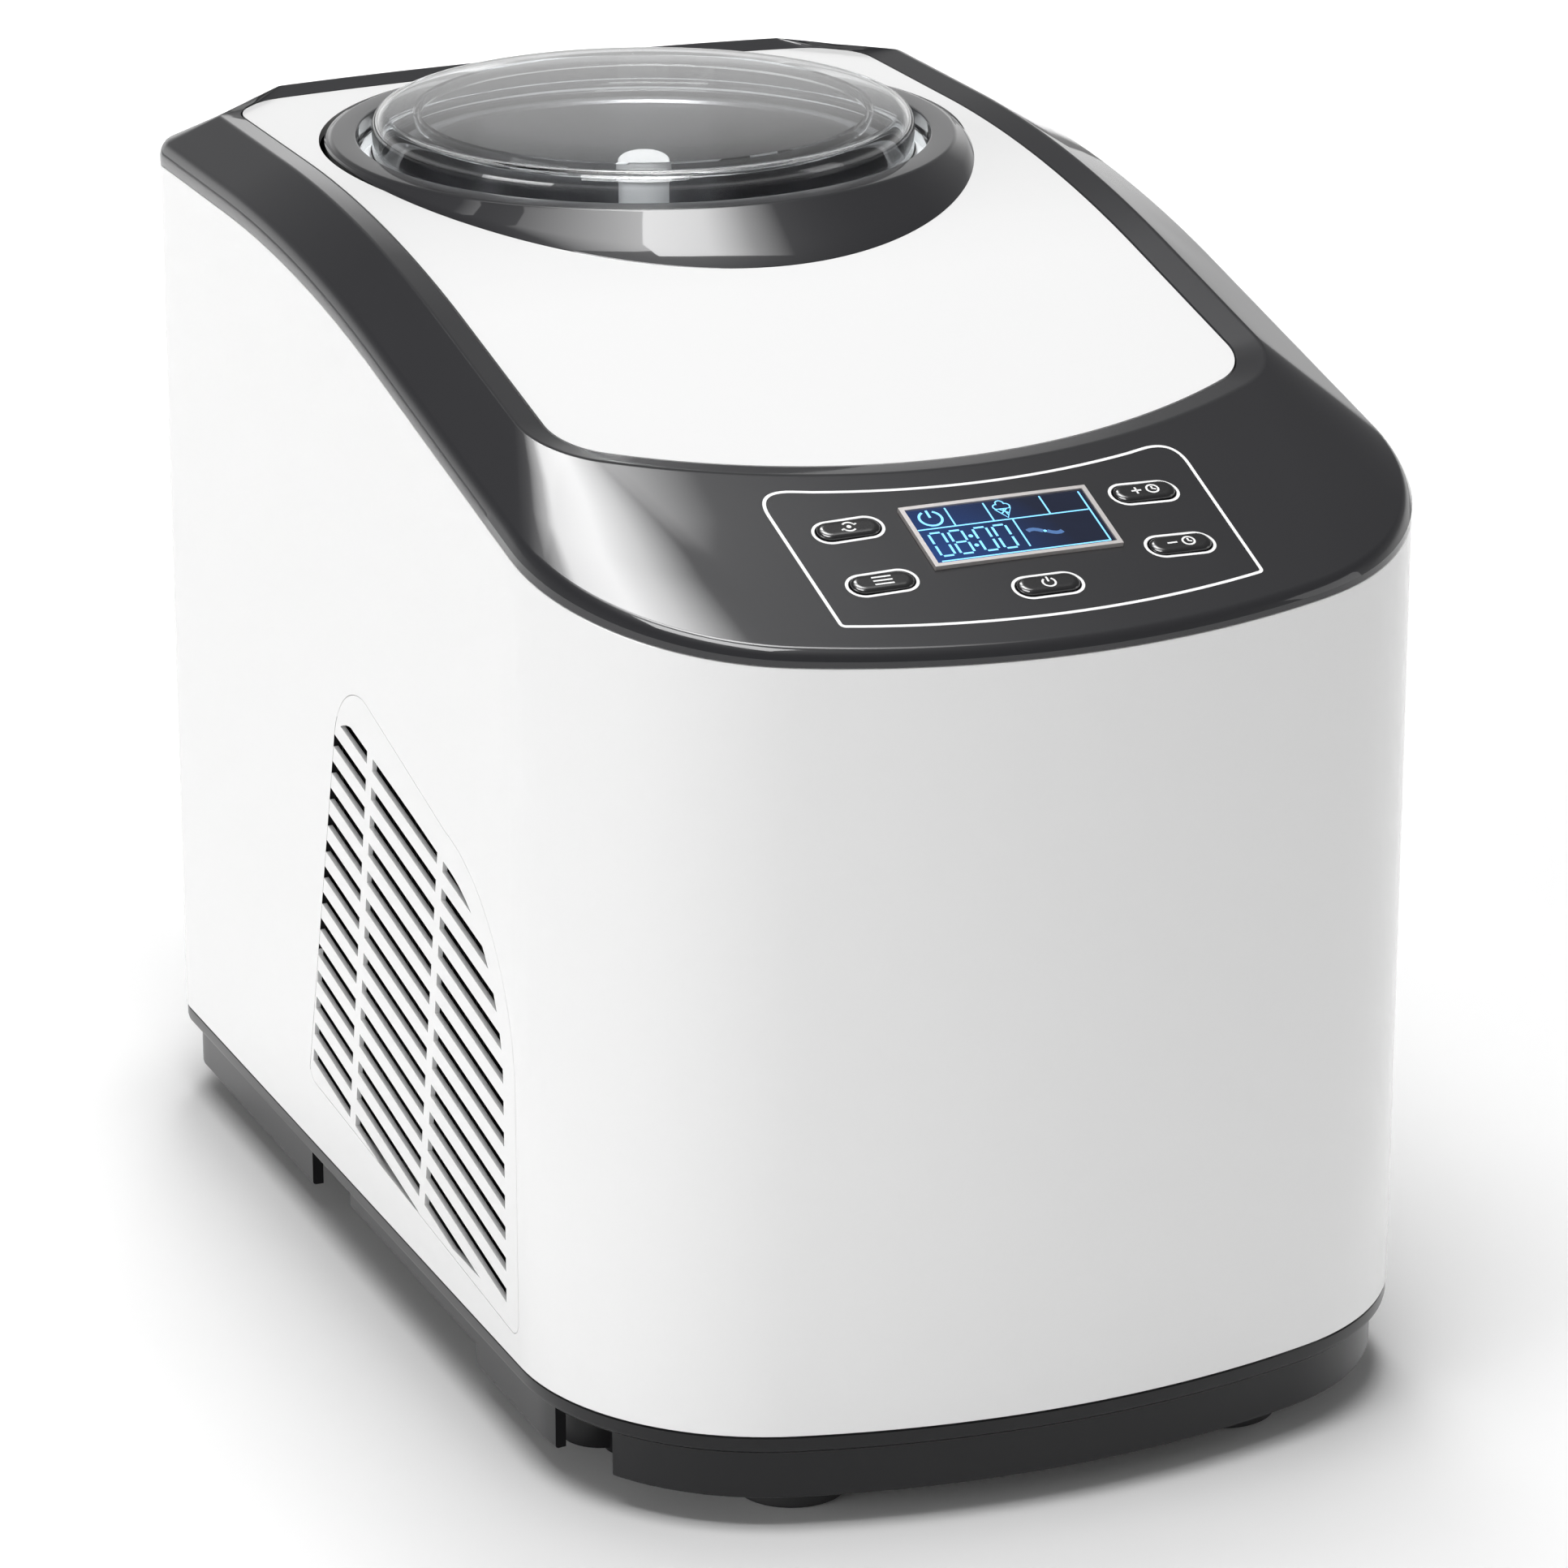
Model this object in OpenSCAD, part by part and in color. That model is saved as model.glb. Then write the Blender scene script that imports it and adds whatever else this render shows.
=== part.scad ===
// Compressor ice cream maker: 1.5 litre bowl, lift-off lid, sloped control panel.
// Frame: origin under the middle of the machine on the surface it stands on,
// front faces -Y, +X is its right-hand side seen from behind, +Z up. Millimetres.

/* [Body] */
// Overall width
body_w = 225; // [210:1:240]
// Overall depth
body_d = 372; // [360:1:390]
// Wall thickness of the white shell
wall = 2.5; // [2:0.1:3]
// Radius of the bowed front
front_r = 236.4; // [220:0.2:300]
// Radius of the two front corners
corner_r = 63.5; // [50:0.5:70]
// Height of the white shell's lower edge
shell_z = 25.7; // [24:0.1:28]
// Height of the seam under the dark band, at the rear
seam_top = 261.5; // [255:0.5:265]
// Slope of the seam towards the front, in degrees
seam_slope = 12.5; // [11:0.1:13]

/* [Top] */
// Width of the white top panel
panel_w = 179.2; // [175:0.2:182]
// Width across the crease that borders the bevel
crease_w = 193.6; // [190:0.2:197]
// Height of the white top panel above the seam
panel_rise = 10.6; // [9:0.1:11.5]
// Height of the crease above the seam
crease_rise = 12.3; // [11.5:0.1:13]

/* [Bowl bay] */
// Distance of the bowl's axis behind the origin
bowl_y = 83.5; // [80:0.5:86]
// Height of the collar's flat top
collar_z = 273.3; // [272:0.1:275]
// Inside radius of the mixing bowl
bowl_r = 63.5; // [62:0.1:64]
// Height of the bowl's rim
bowl_top = 265; // [264:0.5:266]
// Height of the bowl's floor, underside
bowl_bottom = 141; // [138:1:150]

/* [Base] */
// Height of the full skirt's lower edge
skirt_z = 8; // [6:0.5:10]
// Radius of each rubber foot
foot_r = 14; // [12:0.5:15]

/* [Grille] */
// Pitch of the louvre slots
louvre_pitch = 7.95; // [7:0.05:9]
// Width of each slot
louvre_gap = 3.6; // [3:0.1:4]
// Thickness of the louvre bars
louvre_t = 1.25; // [1:0.05:2]
// Number of slots in a column
louvre_count = 14; // [12:1:14]

/* [Controls] */
// Length of a button cap
button_l = 15.6; // [14:0.2:16]
// Width of a button cap
button_w = 6.4; // [6:0.2:6.8]
// Width of the display bezel
display_w = 47.6; // [44:0.2:50]
// Height of the display bezel
display_h = 23.1; // [21:0.1:24]

/* [Hidden] */

$fn = 64;
half_w = body_w / 2;
front_y = -body_d / 2;
rear_y = body_d / 2;
front_c = front_y + front_r;      // y of the centre shared by the bowed front edges
rear_r = 546;                     // radius of the bowed rear
chamfer_y = 146.5;                // y where the side meets the 45 degree rear corner
fine = 0.15;                      // assembly gap between neighbouring mouldings
bend_y = 90;                      // y where the seam starts to fall
bend_r = 530;                     // radius of the seam's bend
bend_end = bend_y - bend_r * sin(seam_slope);
bend_drop = bend_r * (1 - cos(seam_slope));

// Height of the seam between the white shell and the dark band
function seam(y) =
    y > bend_y ? seam_top
    : y > bend_end ? seam_top - bend_r + sqrt(bend_r * bend_r - (bend_y - y) * (bend_y - y))
    : seam_top - bend_drop - (bend_end - y) * tan(seam_slope);

// An arc as points, n steps from angle a to angle b
function arc(c, r, a, b, n) =
    [for (i = [0 : n]) let (t = a + (b - a) * i / n) c + r * [cos(t), sin(t)]];
function mix(a, b, t) = a + (b - a) * t;

front_steps = 12;                 // straight steps that make up half of each curve of an outline
corner_steps = 10;
side_steps = 14;
rear_steps = 7;

// Right half of a plan outline, from the middle of the front to the middle of the rear:
// hw half width, rf front radius, rc corner radius, yv start of the rear chamfer,
// rr rounding of the chamfer, back the y of the rear, rb its radius
function half_outline(hw, rf, rc, yv, rr, back, rb) =
    let (yc = front_c - sqrt((rf - rc) * (rf - rc) - (hw - rc) * (hw - rc)),
        at = atan2(yc - front_c, hw - rc),
        t = rr * tan(22.5),
        s = hw + yv - rr * sqrt(2) - (back - rb),
        xr = (s - sqrt(2 * (rb - rr) * (rb - rr) - s * s)) / 2,
        cr = [xr, s - xr + back - rb],
        ar = atan2(s - xr, xr),
        side = yv - t - yc)
    concat(
        arc([0, front_c], rf, -90, at, front_steps),
        arc([hw - rc, yc], rc, at - at / corner_steps, 0, corner_steps - 1),
        [for (i = [1 : side_steps - 1]) [hw, yc + side * i / side_steps]],
        arc([hw - rr, yv - t], rr, 0, 45, 3),
        arc(cr, rr, 45, ar, 3),
        arc([0, back - rb], rb, ar + (90 - ar) / rear_steps, 90, rear_steps - 1));
function whole(half) = concat(half, [for (i = [len(half) - 2 : -1 : 1]) [-half[i][0], half[i][1]]]);

// Plan outlines, all with the same number of points
function body_outline(inset) = whole(half_outline(half_w - inset, front_r - inset, corner_r - inset,
    chamfer_y - inset * tan(22.5), max(14 - inset, 2), rear_y - inset, rear_r - inset));
ring_corner = 26;                 // radius of the crease's front corners
crease_inset = half_w - crease_w / 2;
ring_w = (crease_w - panel_w) / 2;
crease_front = 171.9;             // radius of the crease's front edge
crease_outline = whole(half_outline(crease_w / 2, crease_front, ring_corner,
    chamfer_y - crease_inset * tan(22.5), 3, rear_y - crease_inset, rear_r - crease_inset));
function panel_outline(inset) = whole(half_outline(panel_w / 2 - inset, crease_front - ring_w - inset,
    ring_corner - ring_w - inset, 147.5 - inset * tan(22.5), 16 - inset, 163.8 - inset, rear_r - 22 - inset));

// A solid prism of an outline between two heights
module prism(pts, z0, z1) {
    translate([0, 0, z0]) linear_extrude(z1 - z0) polygon(pts);
}

// Everything below the seam surface raised by rise
module under_seam(rise) {
    ys = concat([front_y - 5], [for (i = [0 : 16]) bend_end + (bend_y - bend_end) * i / 16], [rear_y + 5]);
    pts = concat([for (y = ys) [y, seam(y) + rise]], [[rear_y + 5, -5], [front_y - 5, -5]]);
    translate([-half_w - 5, 0, 0]) rotate([90, 0, 90]) linear_extrude(body_w + 10) polygon(pts);
}

// A closed tube of stations, each a loop of points, joined end to end
module ring_skin(st) {
    n = len(st);
    m = len(st[0]);
    polyhedron(
        points = [for (s = st) for (p = s) p],
        faces = [for (i = [0 : n - 1]) for (j = [0 : m - 1])
            let (a = i * m + j, b = i * m + (j + 1) % m,
                c = ((i + 1) % n) * m + (j + 1) % m, d = ((i + 1) % n) * m + j)
            for (f = [[a, b, c], [a, c, d]]) f]);
}

// ---- Controls: a plane that the display and the buttons share ----
panel_y0 = front_c - crease_front;
panel_y1 = front_y;
lip_h = 3.3;                      // height of the front lip above the seam
panel_z0 = seam(panel_y0) + crease_rise;
panel_slope = atan((panel_z0 - seam(panel_y1) - lip_h) / (panel_y0 - panel_y1));
function panel_z(y) = panel_z0 + (y - panel_y0) * tan(panel_slope);

// The bowed panel falls away to the sides by this much
function droop(x) = (tan(panel_slope) - tan(seam_slope))
    * (crease_front - sqrt(crease_front * crease_front - x * x));

module on_panel(x, y) {
    translate([x, y, panel_z(y) - droop(x)]) rotate([panel_slope, 0, 0]) children();
}

module pill(l, w, z0, z1) {
    for (s = [-1, 1]) translate([s * (l - w) / 2, 0, z0]) cylinder(d = w, h = z1 - z0);
    translate([-(l - w) / 2, -w / 2, z0]) cube([l - w, w, z1 - z0]);
}

module slab(x, y, z0, z1) {
    translate([-x / 2, -y / 2, z0]) cube([x, y, z1 - z0]);
}

display_y = -145.2;
stir_at = [-37.7, -138];
up_at = [37.7, -138];
mode_at = [-37.7, -157.6];
down_at = [37.7, -157.6];
power_at = [0, -166.2];
button_places = [stir_at, up_at, mode_at, down_at, power_at];
button_gap = 0.3;
board_y = -150;
board_top = -10;
switch_top = -6.4;

// ---- Base ----
floor_z = 21;                     // underside of the tray's floor
skirt_inset = 4;
feet_at = [[-57, -150], [57, -150], [-62, 138], [62, 138]];

module base_tray() {
    flange_bevel = 1.2;
    color("#1e1e20") difference() {
        union() {
            prism(body_outline(fine), floor_z + flange_bevel, shell_z - fine);
            prism(body_outline(fine + flange_bevel), floor_z, floor_z + flange_bevel);
            difference() {
                prism(body_outline(skirt_inset), skirt_z, floor_z);
                prism(body_outline(skirt_inset + 3), skirt_z - 1, floor_z + 1);
            }
            for (p = feet_at) translate([p[0], p[1], 9.5]) cylinder(r = foot_r - 2, h = floor_z - 9);
            for (s = [-1, 1]) {
                translate([s * 90, -110, 3]) cylinder(r = 10, h = floor_z - 2.5);
                translate([s * 84, -118, 2]) cylinder(r = 8, h = floor_z - 1.5);
            }
        }
        // floor pocket, so that the tray is a shell
        prism(body_outline(skirt_inset + 3), floor_z + 3, shell_z + 1);
        for (p = feet_at) translate([p[0], p[1], 9]) cylinder(r = 2, h = 30);
        for (s = [-1, 1]) {
            // hand recess in each side of the skirt
            translate([s * (half_w - 9) - 10, 20, skirt_z - 1]) cube([20, 30, floor_z - skirt_z + 1]);
            // shallow stretch of the skirt
            translate([s * (half_w - 9) - 10, -73.5, skirt_z - 1]) cube([20, 94, 7]);
            // corner notch
            translate([s * 49, -115, skirt_z - 1]) rotate([0, 0, s > 0 ? -30 : 190])
                rotate_extrude(angle = 20) translate([53, 0]) square([9, floor_z - skirt_z + 1]);
            // air holes in the floor
            for (i = [0 : 6]) translate([s * 60 - 22, -40 + i * 12, floor_z - 1]) cube([44, 5, 6]);
        }
        for (p = mount_places) translate([p[0], p[1], floor_z - 1]) cylinder(r = 3.2, h = 6);
    }
}

module rubber_feet() {
    color("#161616") for (p = feet_at) translate([p[0], p[1], 0]) rotate_extrude()
        polygon([[5, 0], [foot_r - 1.5, 0], [foot_r, 1.5], [foot_r, 9.5], [2.1, 9.5], [2.1, 3.5], [5, 3.5]]);
}

module foot_screws() {
    color("#9a9ca0") for (p = feet_at) translate([p[0], p[1], 0]) {
        translate([0, 0, 1]) cylinder(r = 4, h = 2.5);
        translate([0, 0, 3]) cylinder(r = 1.95, h = 20);
    }
}

// ---- Shell, grilles and rear cover ----
// The grille's outlines are drawn in the plane of the side wall: first y, then z
leaf_c = [-62, 95];
function leaf(d) = concat(
    arc([-114 + 4, 37], 4 + d, 180, 270, 3),
    arc([34, 47.5], 4 + d, 278, 350, 4),
    arc([-9, 139.5], 22 + d, 10, 96, 8),
    arc(leaf_c, 52 + d, 97, 180, 12));
aperture = concat(
    [[-106, 38], [37.5, 38]],
    arc([-2, 131], 20.5, 10, 100, 8),
    arc([-62.5, 95], 43.5, 97, 180, 12));
louvre_a = 10.6;                  // tilt of the whole louvre grid
mullions = [[4.4, 46.9], [-46.2, 40.8]];
grid_rear = [36, 47];             // a point on the rear edge of the louvre field

module louvre_slots() {
    intersection() {
        polygon(aperture);
        difference() {
            for (k = [0 : louvre_count - 1]) translate([0, 151.5]) rotate(louvre_a)
                translate([-150, -louvre_gap - k * louvre_pitch]) square([300, louvre_gap]);
            for (m = mullions) translate(m) rotate(louvre_a) translate([-2, -60]) square([4, 250]);
            translate(grid_rear) rotate(louvre_a) translate([0, -60]) square([40, 250]);
        }
    }
}

// Puts a drawing of y and z on the side wall, s is -1 for the left side
module on_side(s, depth) {
    translate([s > 0 ? half_w - depth : -half_w, 0, 0]) rotate([90, 0, 90]) linear_extrude(depth) children();
}

cover_half = 62;
cover_z = [42, 236];

module shell_ring(z0) {
    difference() {
        prism(body_outline(0), z0, seam_top + 1);
        prism(body_outline(wall), z0 - 1, seam_top + 2);
    }
}

// Blocks on the shell that take the rear cover's screws, behind the cover and beside it
module screw_blocks() {
    for (p = cover_screw_at) for (part = [0, 1]) intersection() {
        prism(body_outline(part == 0 ? wall + fine : wall - 0.5), p[1] - 7, p[1] + 7);
        translate([p[0] > 0 ? 46 + 16.5 * part : -64 - 6 * part, 171, 0]) cube([18 - 10.5 * part, 30, 300]);
    }
}

module body_shell() {
    color("#f2f2f2") difference() {
        union() {
            intersection() {
                shell_ring(shell_z);
                under_seam(0);
            }
            screw_blocks();
        }
        for (p = cover_screw_at) translate([p[0], 160, p[1]]) rotate([-90, 0, 0]) cylinder(r = 1.55, h = 30);
        for (s = [-1, 1]) translate([s > 0 ? 1 : -1, 0, 0]) on_side(s, wall + 2) polygon(leaf(fine));
        difference() {
            translate([-cover_half - fine, rear_y - 20, cover_z[0] - fine])
                cube([2 * (cover_half + fine), 30, cover_z[1] - cover_z[0] + 2 * fine]);
            prism(body_outline(wall + fine), cover_z[0] - 1, cover_z[1] + 1);
        }
    }
}

grille_rim = 1.5;                  // width of the thicker rim round the back of a grille

module vent_grille(s) {
    color("#f2f2f2") difference() {
        on_side(s, wall) polygon(leaf(0));
        translate([s * 0.5, 0, 0]) on_side(s, wall + 1) louvre_slots();
        translate([-s * louvre_t, 0, 0]) on_side(s, wall) polygon(leaf(-grille_rim));
    }
}
module left_vent_grille() { vent_grille(-1); }
module right_vent_grille() { vent_grille(1); }

gland_at = [-38, 64];
cover_screw_at = [for (x = [-1, 1]) for (z = [cover_z[0] + 8, cover_z[1] - 8]) [x * (cover_half - 8), z]];
gland_y = rear_y - 2.6;          // seat of the gland's flange in its recess
cover_screw_y = rear_y - 3;

module rear_cover() {
    color("#e9e9ea") difference() {
        intersection() {
            shell_ring(cover_z[0]);
            translate([-cover_half, rear_y - 20, cover_z[0]])
                cube([2 * cover_half, 30, cover_z[1] - cover_z[0]]);
        }
        for (z = [80 : 9 : 206]) for (x = [-1, 1])
            translate([x * 22 - 18, rear_y - 10, z]) cube([36, 20, 4]);
        translate([gland_at[0], rear_y - 20, gland_at[1]]) rotate([-90, 0, 0]) cylinder(r = 6.2, h = 30);
        translate([gland_at[0], gland_y - 0.05, gland_at[1]]) rotate([-90, 0, 0]) cylinder(r = 8.8, h = 30);
        for (p = cover_screw_at) translate([p[0], rear_y - 20, p[1]]) rotate([-90, 0, 0])
            cylinder(r = 1.6, h = 30);
    }
}

module cord_gland() {
    color("#19191a") translate([gland_at[0], gland_y, gland_at[1]]) rotate([-90, 0, 0]) difference() {
        union() {
            cylinder(r = 8.5, h = 2);
            translate([0, 0, -12]) cylinder(r = 6, h = 13);
        }
        translate([0, 0, -13]) cylinder(r = 3.6, h = 20);
    }
}

module cover_screws() {
    color("#8f9194") for (p = cover_screw_at) translate([p[0], cover_screw_y, p[1]]) rotate([-90, 0, 0]) {
        translate([0, 0, 0.75]) cylinder(r = 3.2, h = 1.6);
        translate([0, 0, -9]) cylinder(r = 1.5, h = 10.5);
    }
}

// ---- Top band ----
edge_h = 6.1;                     // height of the side strip's soft upper edge
function strip_h(y) = y > -115 ? edge_h : mix(lip_h + 0.3, edge_h, (y - front_y) / (-115 - front_y));
edge_in = 2.6;

module top_band() {
    o = body_outline(0);
    m = body_outline(0.8);
    q = body_outline(edge_in);
    c = crease_outline;
    p = panel_outline(0);
    under = 2.8;
    stations = [for (i = [0 : len(o) - 1])
        let (g = seam(o[i][1]), gq = seam(q[i][1]), gc = seam(c[i][1]), gp = seam(p[i][1]),
            h = strip_h(o[i][1]))
        [[o[i][0], o[i][1], g + fine],
            [o[i][0], o[i][1], g + 0.5 * h],
            [m[i][0], m[i][1], g + 0.83 * h],
            [q[i][0], q[i][1], gq + h],
            [c[i][0], c[i][1], gc + crease_rise],
            [p[i][0], p[i][1], gp + panel_rise],
            [p[i][0], p[i][1], gp + panel_rise - 5],
            [c[i][0], c[i][1], gc + crease_rise - under],
            [q[i][0], q[i][1], gq + h - under],
            [q[i][0], q[i][1], gq + fine]]];
    color("#3a3a3c") difference() {
        ring_skin(stations);
        on_panel(0, display_y) slab(display_w + 0.3, display_h + 0.3, -12, 6);
        for (b = button_places) on_panel(b[0], b[1]) {
            pill(button_l + 2 * button_gap, button_w + 2 * button_gap, -8, 6);
            pill(button_l + 3, button_w + 3, -9, -3.2);
        }
    }
}

panel_thick = 2.4;
collar_hole = 84;

module top_panel() {
    color("#f4f4f4") difference() {
        intersection() {
            prism(panel_outline(fine), 200, 280);
            difference() {
                under_seam(panel_rise);
                under_seam(panel_rise - panel_thick);
            }
        }
        translate([0, bowl_y, 200]) cylinder(r = collar_hole, h = 90);
    }
}

groove_r = 74.4;
collar_r = 80.9;
collar_in = 70.4;
ledge_z = 266.2;

module collar() {
    flare = 1.5;
    drop = 16.5;
    neck_z = 252;
    color("#3a3a3c") difference() {
        intersection() {
            prism(panel_outline(fine), 240, 290);
            translate([0, bowl_y, 0]) rotate_extrude($fn = 96) polygon([
                [collar_in, neck_z], [collar_in, ledge_z], [groove_r, ledge_z], [groove_r, collar_z],
                [collar_r, collar_z], [collar_r + flare * drop, collar_z - drop],
                [collar_r + flare * drop, neck_z]]);
        }
        difference() {
            under_seam(panel_rise + 0.05);
            translate([0, bowl_y, 200]) cylinder(r = collar_hole - 0.3, h = 90);
        }
    }
}

// ---- Display and buttons ----
frame_w = 1.15;

module display_bezel() {
    color("#b9b6b4") on_panel(0, display_y) difference() {
        slab(display_w, display_h, -2.4, 0.9);
        slab(display_w - 2 * frame_w, display_h - 2 * frame_w, -3, 2);
    }
}

module display_window() {
    color("#0b1424") on_panel(0, display_y)
        slab(display_w - 2 * frame_w - 0.1, display_h - 2 * frame_w - 0.1, -0.9, 0.5);
}

module display_module() {
    color("#c9ced2") on_panel(0, display_y) {
        slab(display_w - 2 * frame_w - 0.4, display_h - 2 * frame_w - 0.4, -4.4, -1);
        slab(display_w - 4, display_h - 4, -6.5, -4.4);
        for (s = [-1, 1]) translate([0, s * 8.8, 0]) slab(36, 0.8, board_top, -6.5);
    }
}

module button_cap(at) {
    color("#242426") on_panel(at[0], at[1]) {
        pill(button_l, button_w, -4.4, 0.6);
        pill(button_l - 1.2, button_w - 1.2, 0.6, 1);
        pill(button_l + 2, button_w + 2, -5.4, -4.4);
    }
}
module button_stir() { button_cap(stir_at); }
module button_mode() { button_cap(mode_at); }
module button_time_up() { button_cap(up_at); }
module button_time_down() { button_cap(down_at); }
module button_power() { button_cap(power_at); }

module control_board() {
    color("#1f5c3a") on_panel(0, board_y) {
        slab(96, 43, board_top - 1.6, board_top);
        for (x = [-1, 1]) translate([x * 30, 0, 0]) slab(12, 9, board_top - 4, board_top - 1.6);
        translate([0, 6, 0]) slab(18, 14, board_top - 3.4, board_top - 1.6);
    }
}

module tact_switches() {
    color("#c4c6c8") for (b = button_places) on_panel(b[0], b[1]) {
        slab(6, 6, board_top + droop(b[0]) + 0.05, switch_top - 0.8);
        translate([0, 0, switch_top - 0.8]) cylinder(r = 1.6, h = 0.8);
    }
}

// ---- Lid, bowl and paddle, about the bowl's axis ----
module at_bowl() {
    translate([0, bowl_y, 0]) children();
}

lid_r = 70.3;
lid_t = 1.8;
lid_top = 281;

module lid() {
    shoulder = 4.6;
    crown = 1.2;
    wall_top = lid_top - crown - shoulder;
    flange_r = groove_r - 0.5;
    flange_z = ledge_z + 1.2;
    outer = concat([[flange_r, flange_z], [flange_r, flange_z + 1.6], [lid_r, flange_z + 1.6]],
        arc([lid_r - shoulder, wall_top], shoulder, 0, 84, 6), [[45, lid_top - 0.5], [0, lid_top]]);
    inner = concat([[0, lid_top - lid_t], [45, lid_top - 0.5 - lid_t]],
        arc([lid_r - shoulder, wall_top], shoulder - lid_t, 84, 0, 6), [[lid_r - lid_t, flange_z]]);
    color("#dfe6ea", 0.35) at_bowl() {
        rotate_extrude($fn = 96) polygon(concat(outer, inner));
        rotate_extrude($fn = 96) translate([58, lid_top - lid_t - 3.4]) square([1.4, 2.6]);
    }
}

module lid_seal() {
    color("#d8dbdd", 0.6) at_bowl() rotate_extrude($fn = 96)
        translate([groove_r - 3.4, ledge_z + 0.1]) square([2.8, 1]);
}

bowl_t = 1;
post_in = 6;
post_out = 7;
post_top = 168;

module mixing_bowl() {
    floor_r = 9;
    floor_c = [bowl_r + bowl_t - floor_r, bowl_bottom + floor_r];
    o = concat([[post_in, bowl_bottom]], arc(floor_c, floor_r, 270, 360, 6),
        [[bowl_r + bowl_t, bowl_top - 1], [bowl_r + 5.2, bowl_top - 1], [bowl_r + 5.2, bowl_top]]);
    i = concat([[bowl_r, bowl_top]], arc(floor_c, floor_r - bowl_t, 360, 270, 6),
        [[post_out, bowl_bottom + bowl_t], [post_out, post_top], [post_in, post_top]]);
    color("#b8babc") at_bowl() rotate_extrude($fn = 96) polygon(concat(o, i));
}

shaft_r = 4;
shaft_top = 206;
stem_r = 6.6;
cap_z = 262;
hub_gap = 0.6;

module paddle() {
    blade_r = 59.5;
    blade_z = [144.5, 246];
    color("#e6e8ea", 0.7) at_bowl() {
        rotate_extrude() polygon([[post_out + hub_gap, 143.5], [11, 143.5], [11, 176], [stem_r, 184],
            [stem_r, cap_z], [0, cap_z], [0, shaft_top + 1], [shaft_r + 0.08, shaft_top + 1],
            [shaft_r + 0.08, 172], [post_out + hub_gap, 172]]);
        for (a = [20, 200]) rotate([0, 0, a]) {
            // floor scraper and lower arm
            translate([10, -1.2, blade_z[0]]) cube([blade_r - 10, 2.4, 12]);
            // upright scraper at the wall
            translate([blade_r - 12, -1.2, blade_z[0]]) cube([12, 2.4, blade_z[1] - blade_z[0]]);
            // upper arm
            translate([stem_r - 1, -1.2, blade_z[1] - 14]) cube([blade_r - stem_r, 2.4, 14]);
            // sloping inner vane
            translate([14, 0, 156]) rotate([35, 0, 0]) translate([0, -1, 0]) cube([34, 2, 22]);
            translate([10.5, -1.2, 160]) cube([4.5, 2.4, 9]);
        }
    }
}

module hub_cap() {
    cap_r = 7.2;
    cap_h = 4.2;
    edge_r = 1.2;
    color("#fafafa") at_bowl() rotate_extrude()
        polygon(concat([[0, cap_z], [cap_r, cap_z]],
            arc([cap_r - edge_r, cap_z + cap_h - edge_r], edge_r, 0, 90, 4), [[0, cap_z + cap_h]]));
}

// ---- Drive ----
gear_z = 100;
gear_h = 9;
gear_m = 1.25;                    // module of the gear pair
gear_teeth = 60;
pinion_teeth = 12;
centres = gear_m * (gear_teeth + pinion_teeth) / 2;

// Trapezoid teeth with backlash, first tooth centred on +Y plus turn
module gear(teeth, h, turn) {
    rp = gear_m * teeth / 2;
    root = rp - 1.15 * gear_m;
    tip = rp + 0.85 * gear_m;
    pitch = 360 / teeth;
    base_a = 0.27 * pitch;
    tip_a = 0.10 * pitch;
    rotate([0, 0, 90 + turn]) linear_extrude(h) polygon([for (i = [0 : teeth - 1])
        for (p = [[root, -base_a], [tip, -tip_a], [tip, tip_a], [root, base_a]])
        p[0] * [cos(i * pitch + p[1]), sin(i * pitch + p[1])]]);
}

module drive_gear() {
    color("#e8e2d0") at_bowl() translate([0, 0, gear_z]) difference() {
        union() {
            gear(gear_teeth, gear_h, 0);
            translate([0, 0, -2]) cylinder(r = 10, h = gear_h + 4);
        }
        translate([0, 0, -3]) cylinder(r = shaft_r, h = gear_h + 6);
        for (a = [0 : 60 : 300]) rotate([0, 0, a]) translate([22, 0, -3]) cylinder(r = 6, h = gear_h + 6);
    }
}

module drive_shaft() {
    color("#b5b8bb") at_bowl() {
        translate([0, 0, 94.5]) cylinder(r = shaft_r, h = shaft_top - 96.5);
        translate([0, 0, shaft_top - 2]) cylinder(r1 = shaft_r, r2 = shaft_r - 1, h = 2);
    }
}

module motor_pinion() {
    color("#b08d4a") translate([0, bowl_y + centres, 0]) {
        translate([0, 0, gear_z - 1]) difference() {
            gear(pinion_teeth, gear_h + 1, 180 / pinion_teeth);
            translate([0, 0, -1]) cylinder(r = 2.5, h = gear_h + 4);
        }
        translate([0, 0, 88]) cylinder(r = 2.5, h = gear_h + 12);
    }
}

case_z = [95, 114];

module case_plan(d) {
    translate([0, bowl_y]) circle(r = 44 - d);
    translate([0, bowl_y + centres]) circle(r = 20 - d);
    translate([-20 + d, bowl_y]) square([40 - 2 * d, centres]);
}

module gearbox_base() {
    color("#4a4d50") difference() {
        translate([0, 0, case_z[0]]) linear_extrude(case_z[1] - case_z[0] - 3) case_plan(0);
        translate([0, 0, case_z[0] + 2]) linear_extrude(30) case_plan(2.5);
        translate([0, bowl_y + centres, 80]) cylinder(r = 6, h = 30);
        at_bowl() translate([0, 0, 80]) cylinder(r = shaft_r + 0.06, h = 30);
    }
}

module gearbox_cover() {
    color("#4a4d50") difference() {
        translate([0, 0, case_z[1] - 3]) linear_extrude(3) case_plan(0);
        at_bowl() translate([0, 0, 80]) cylinder(r = 9, h = 60);
    }
}

motor_z = [42, 95];

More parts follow.
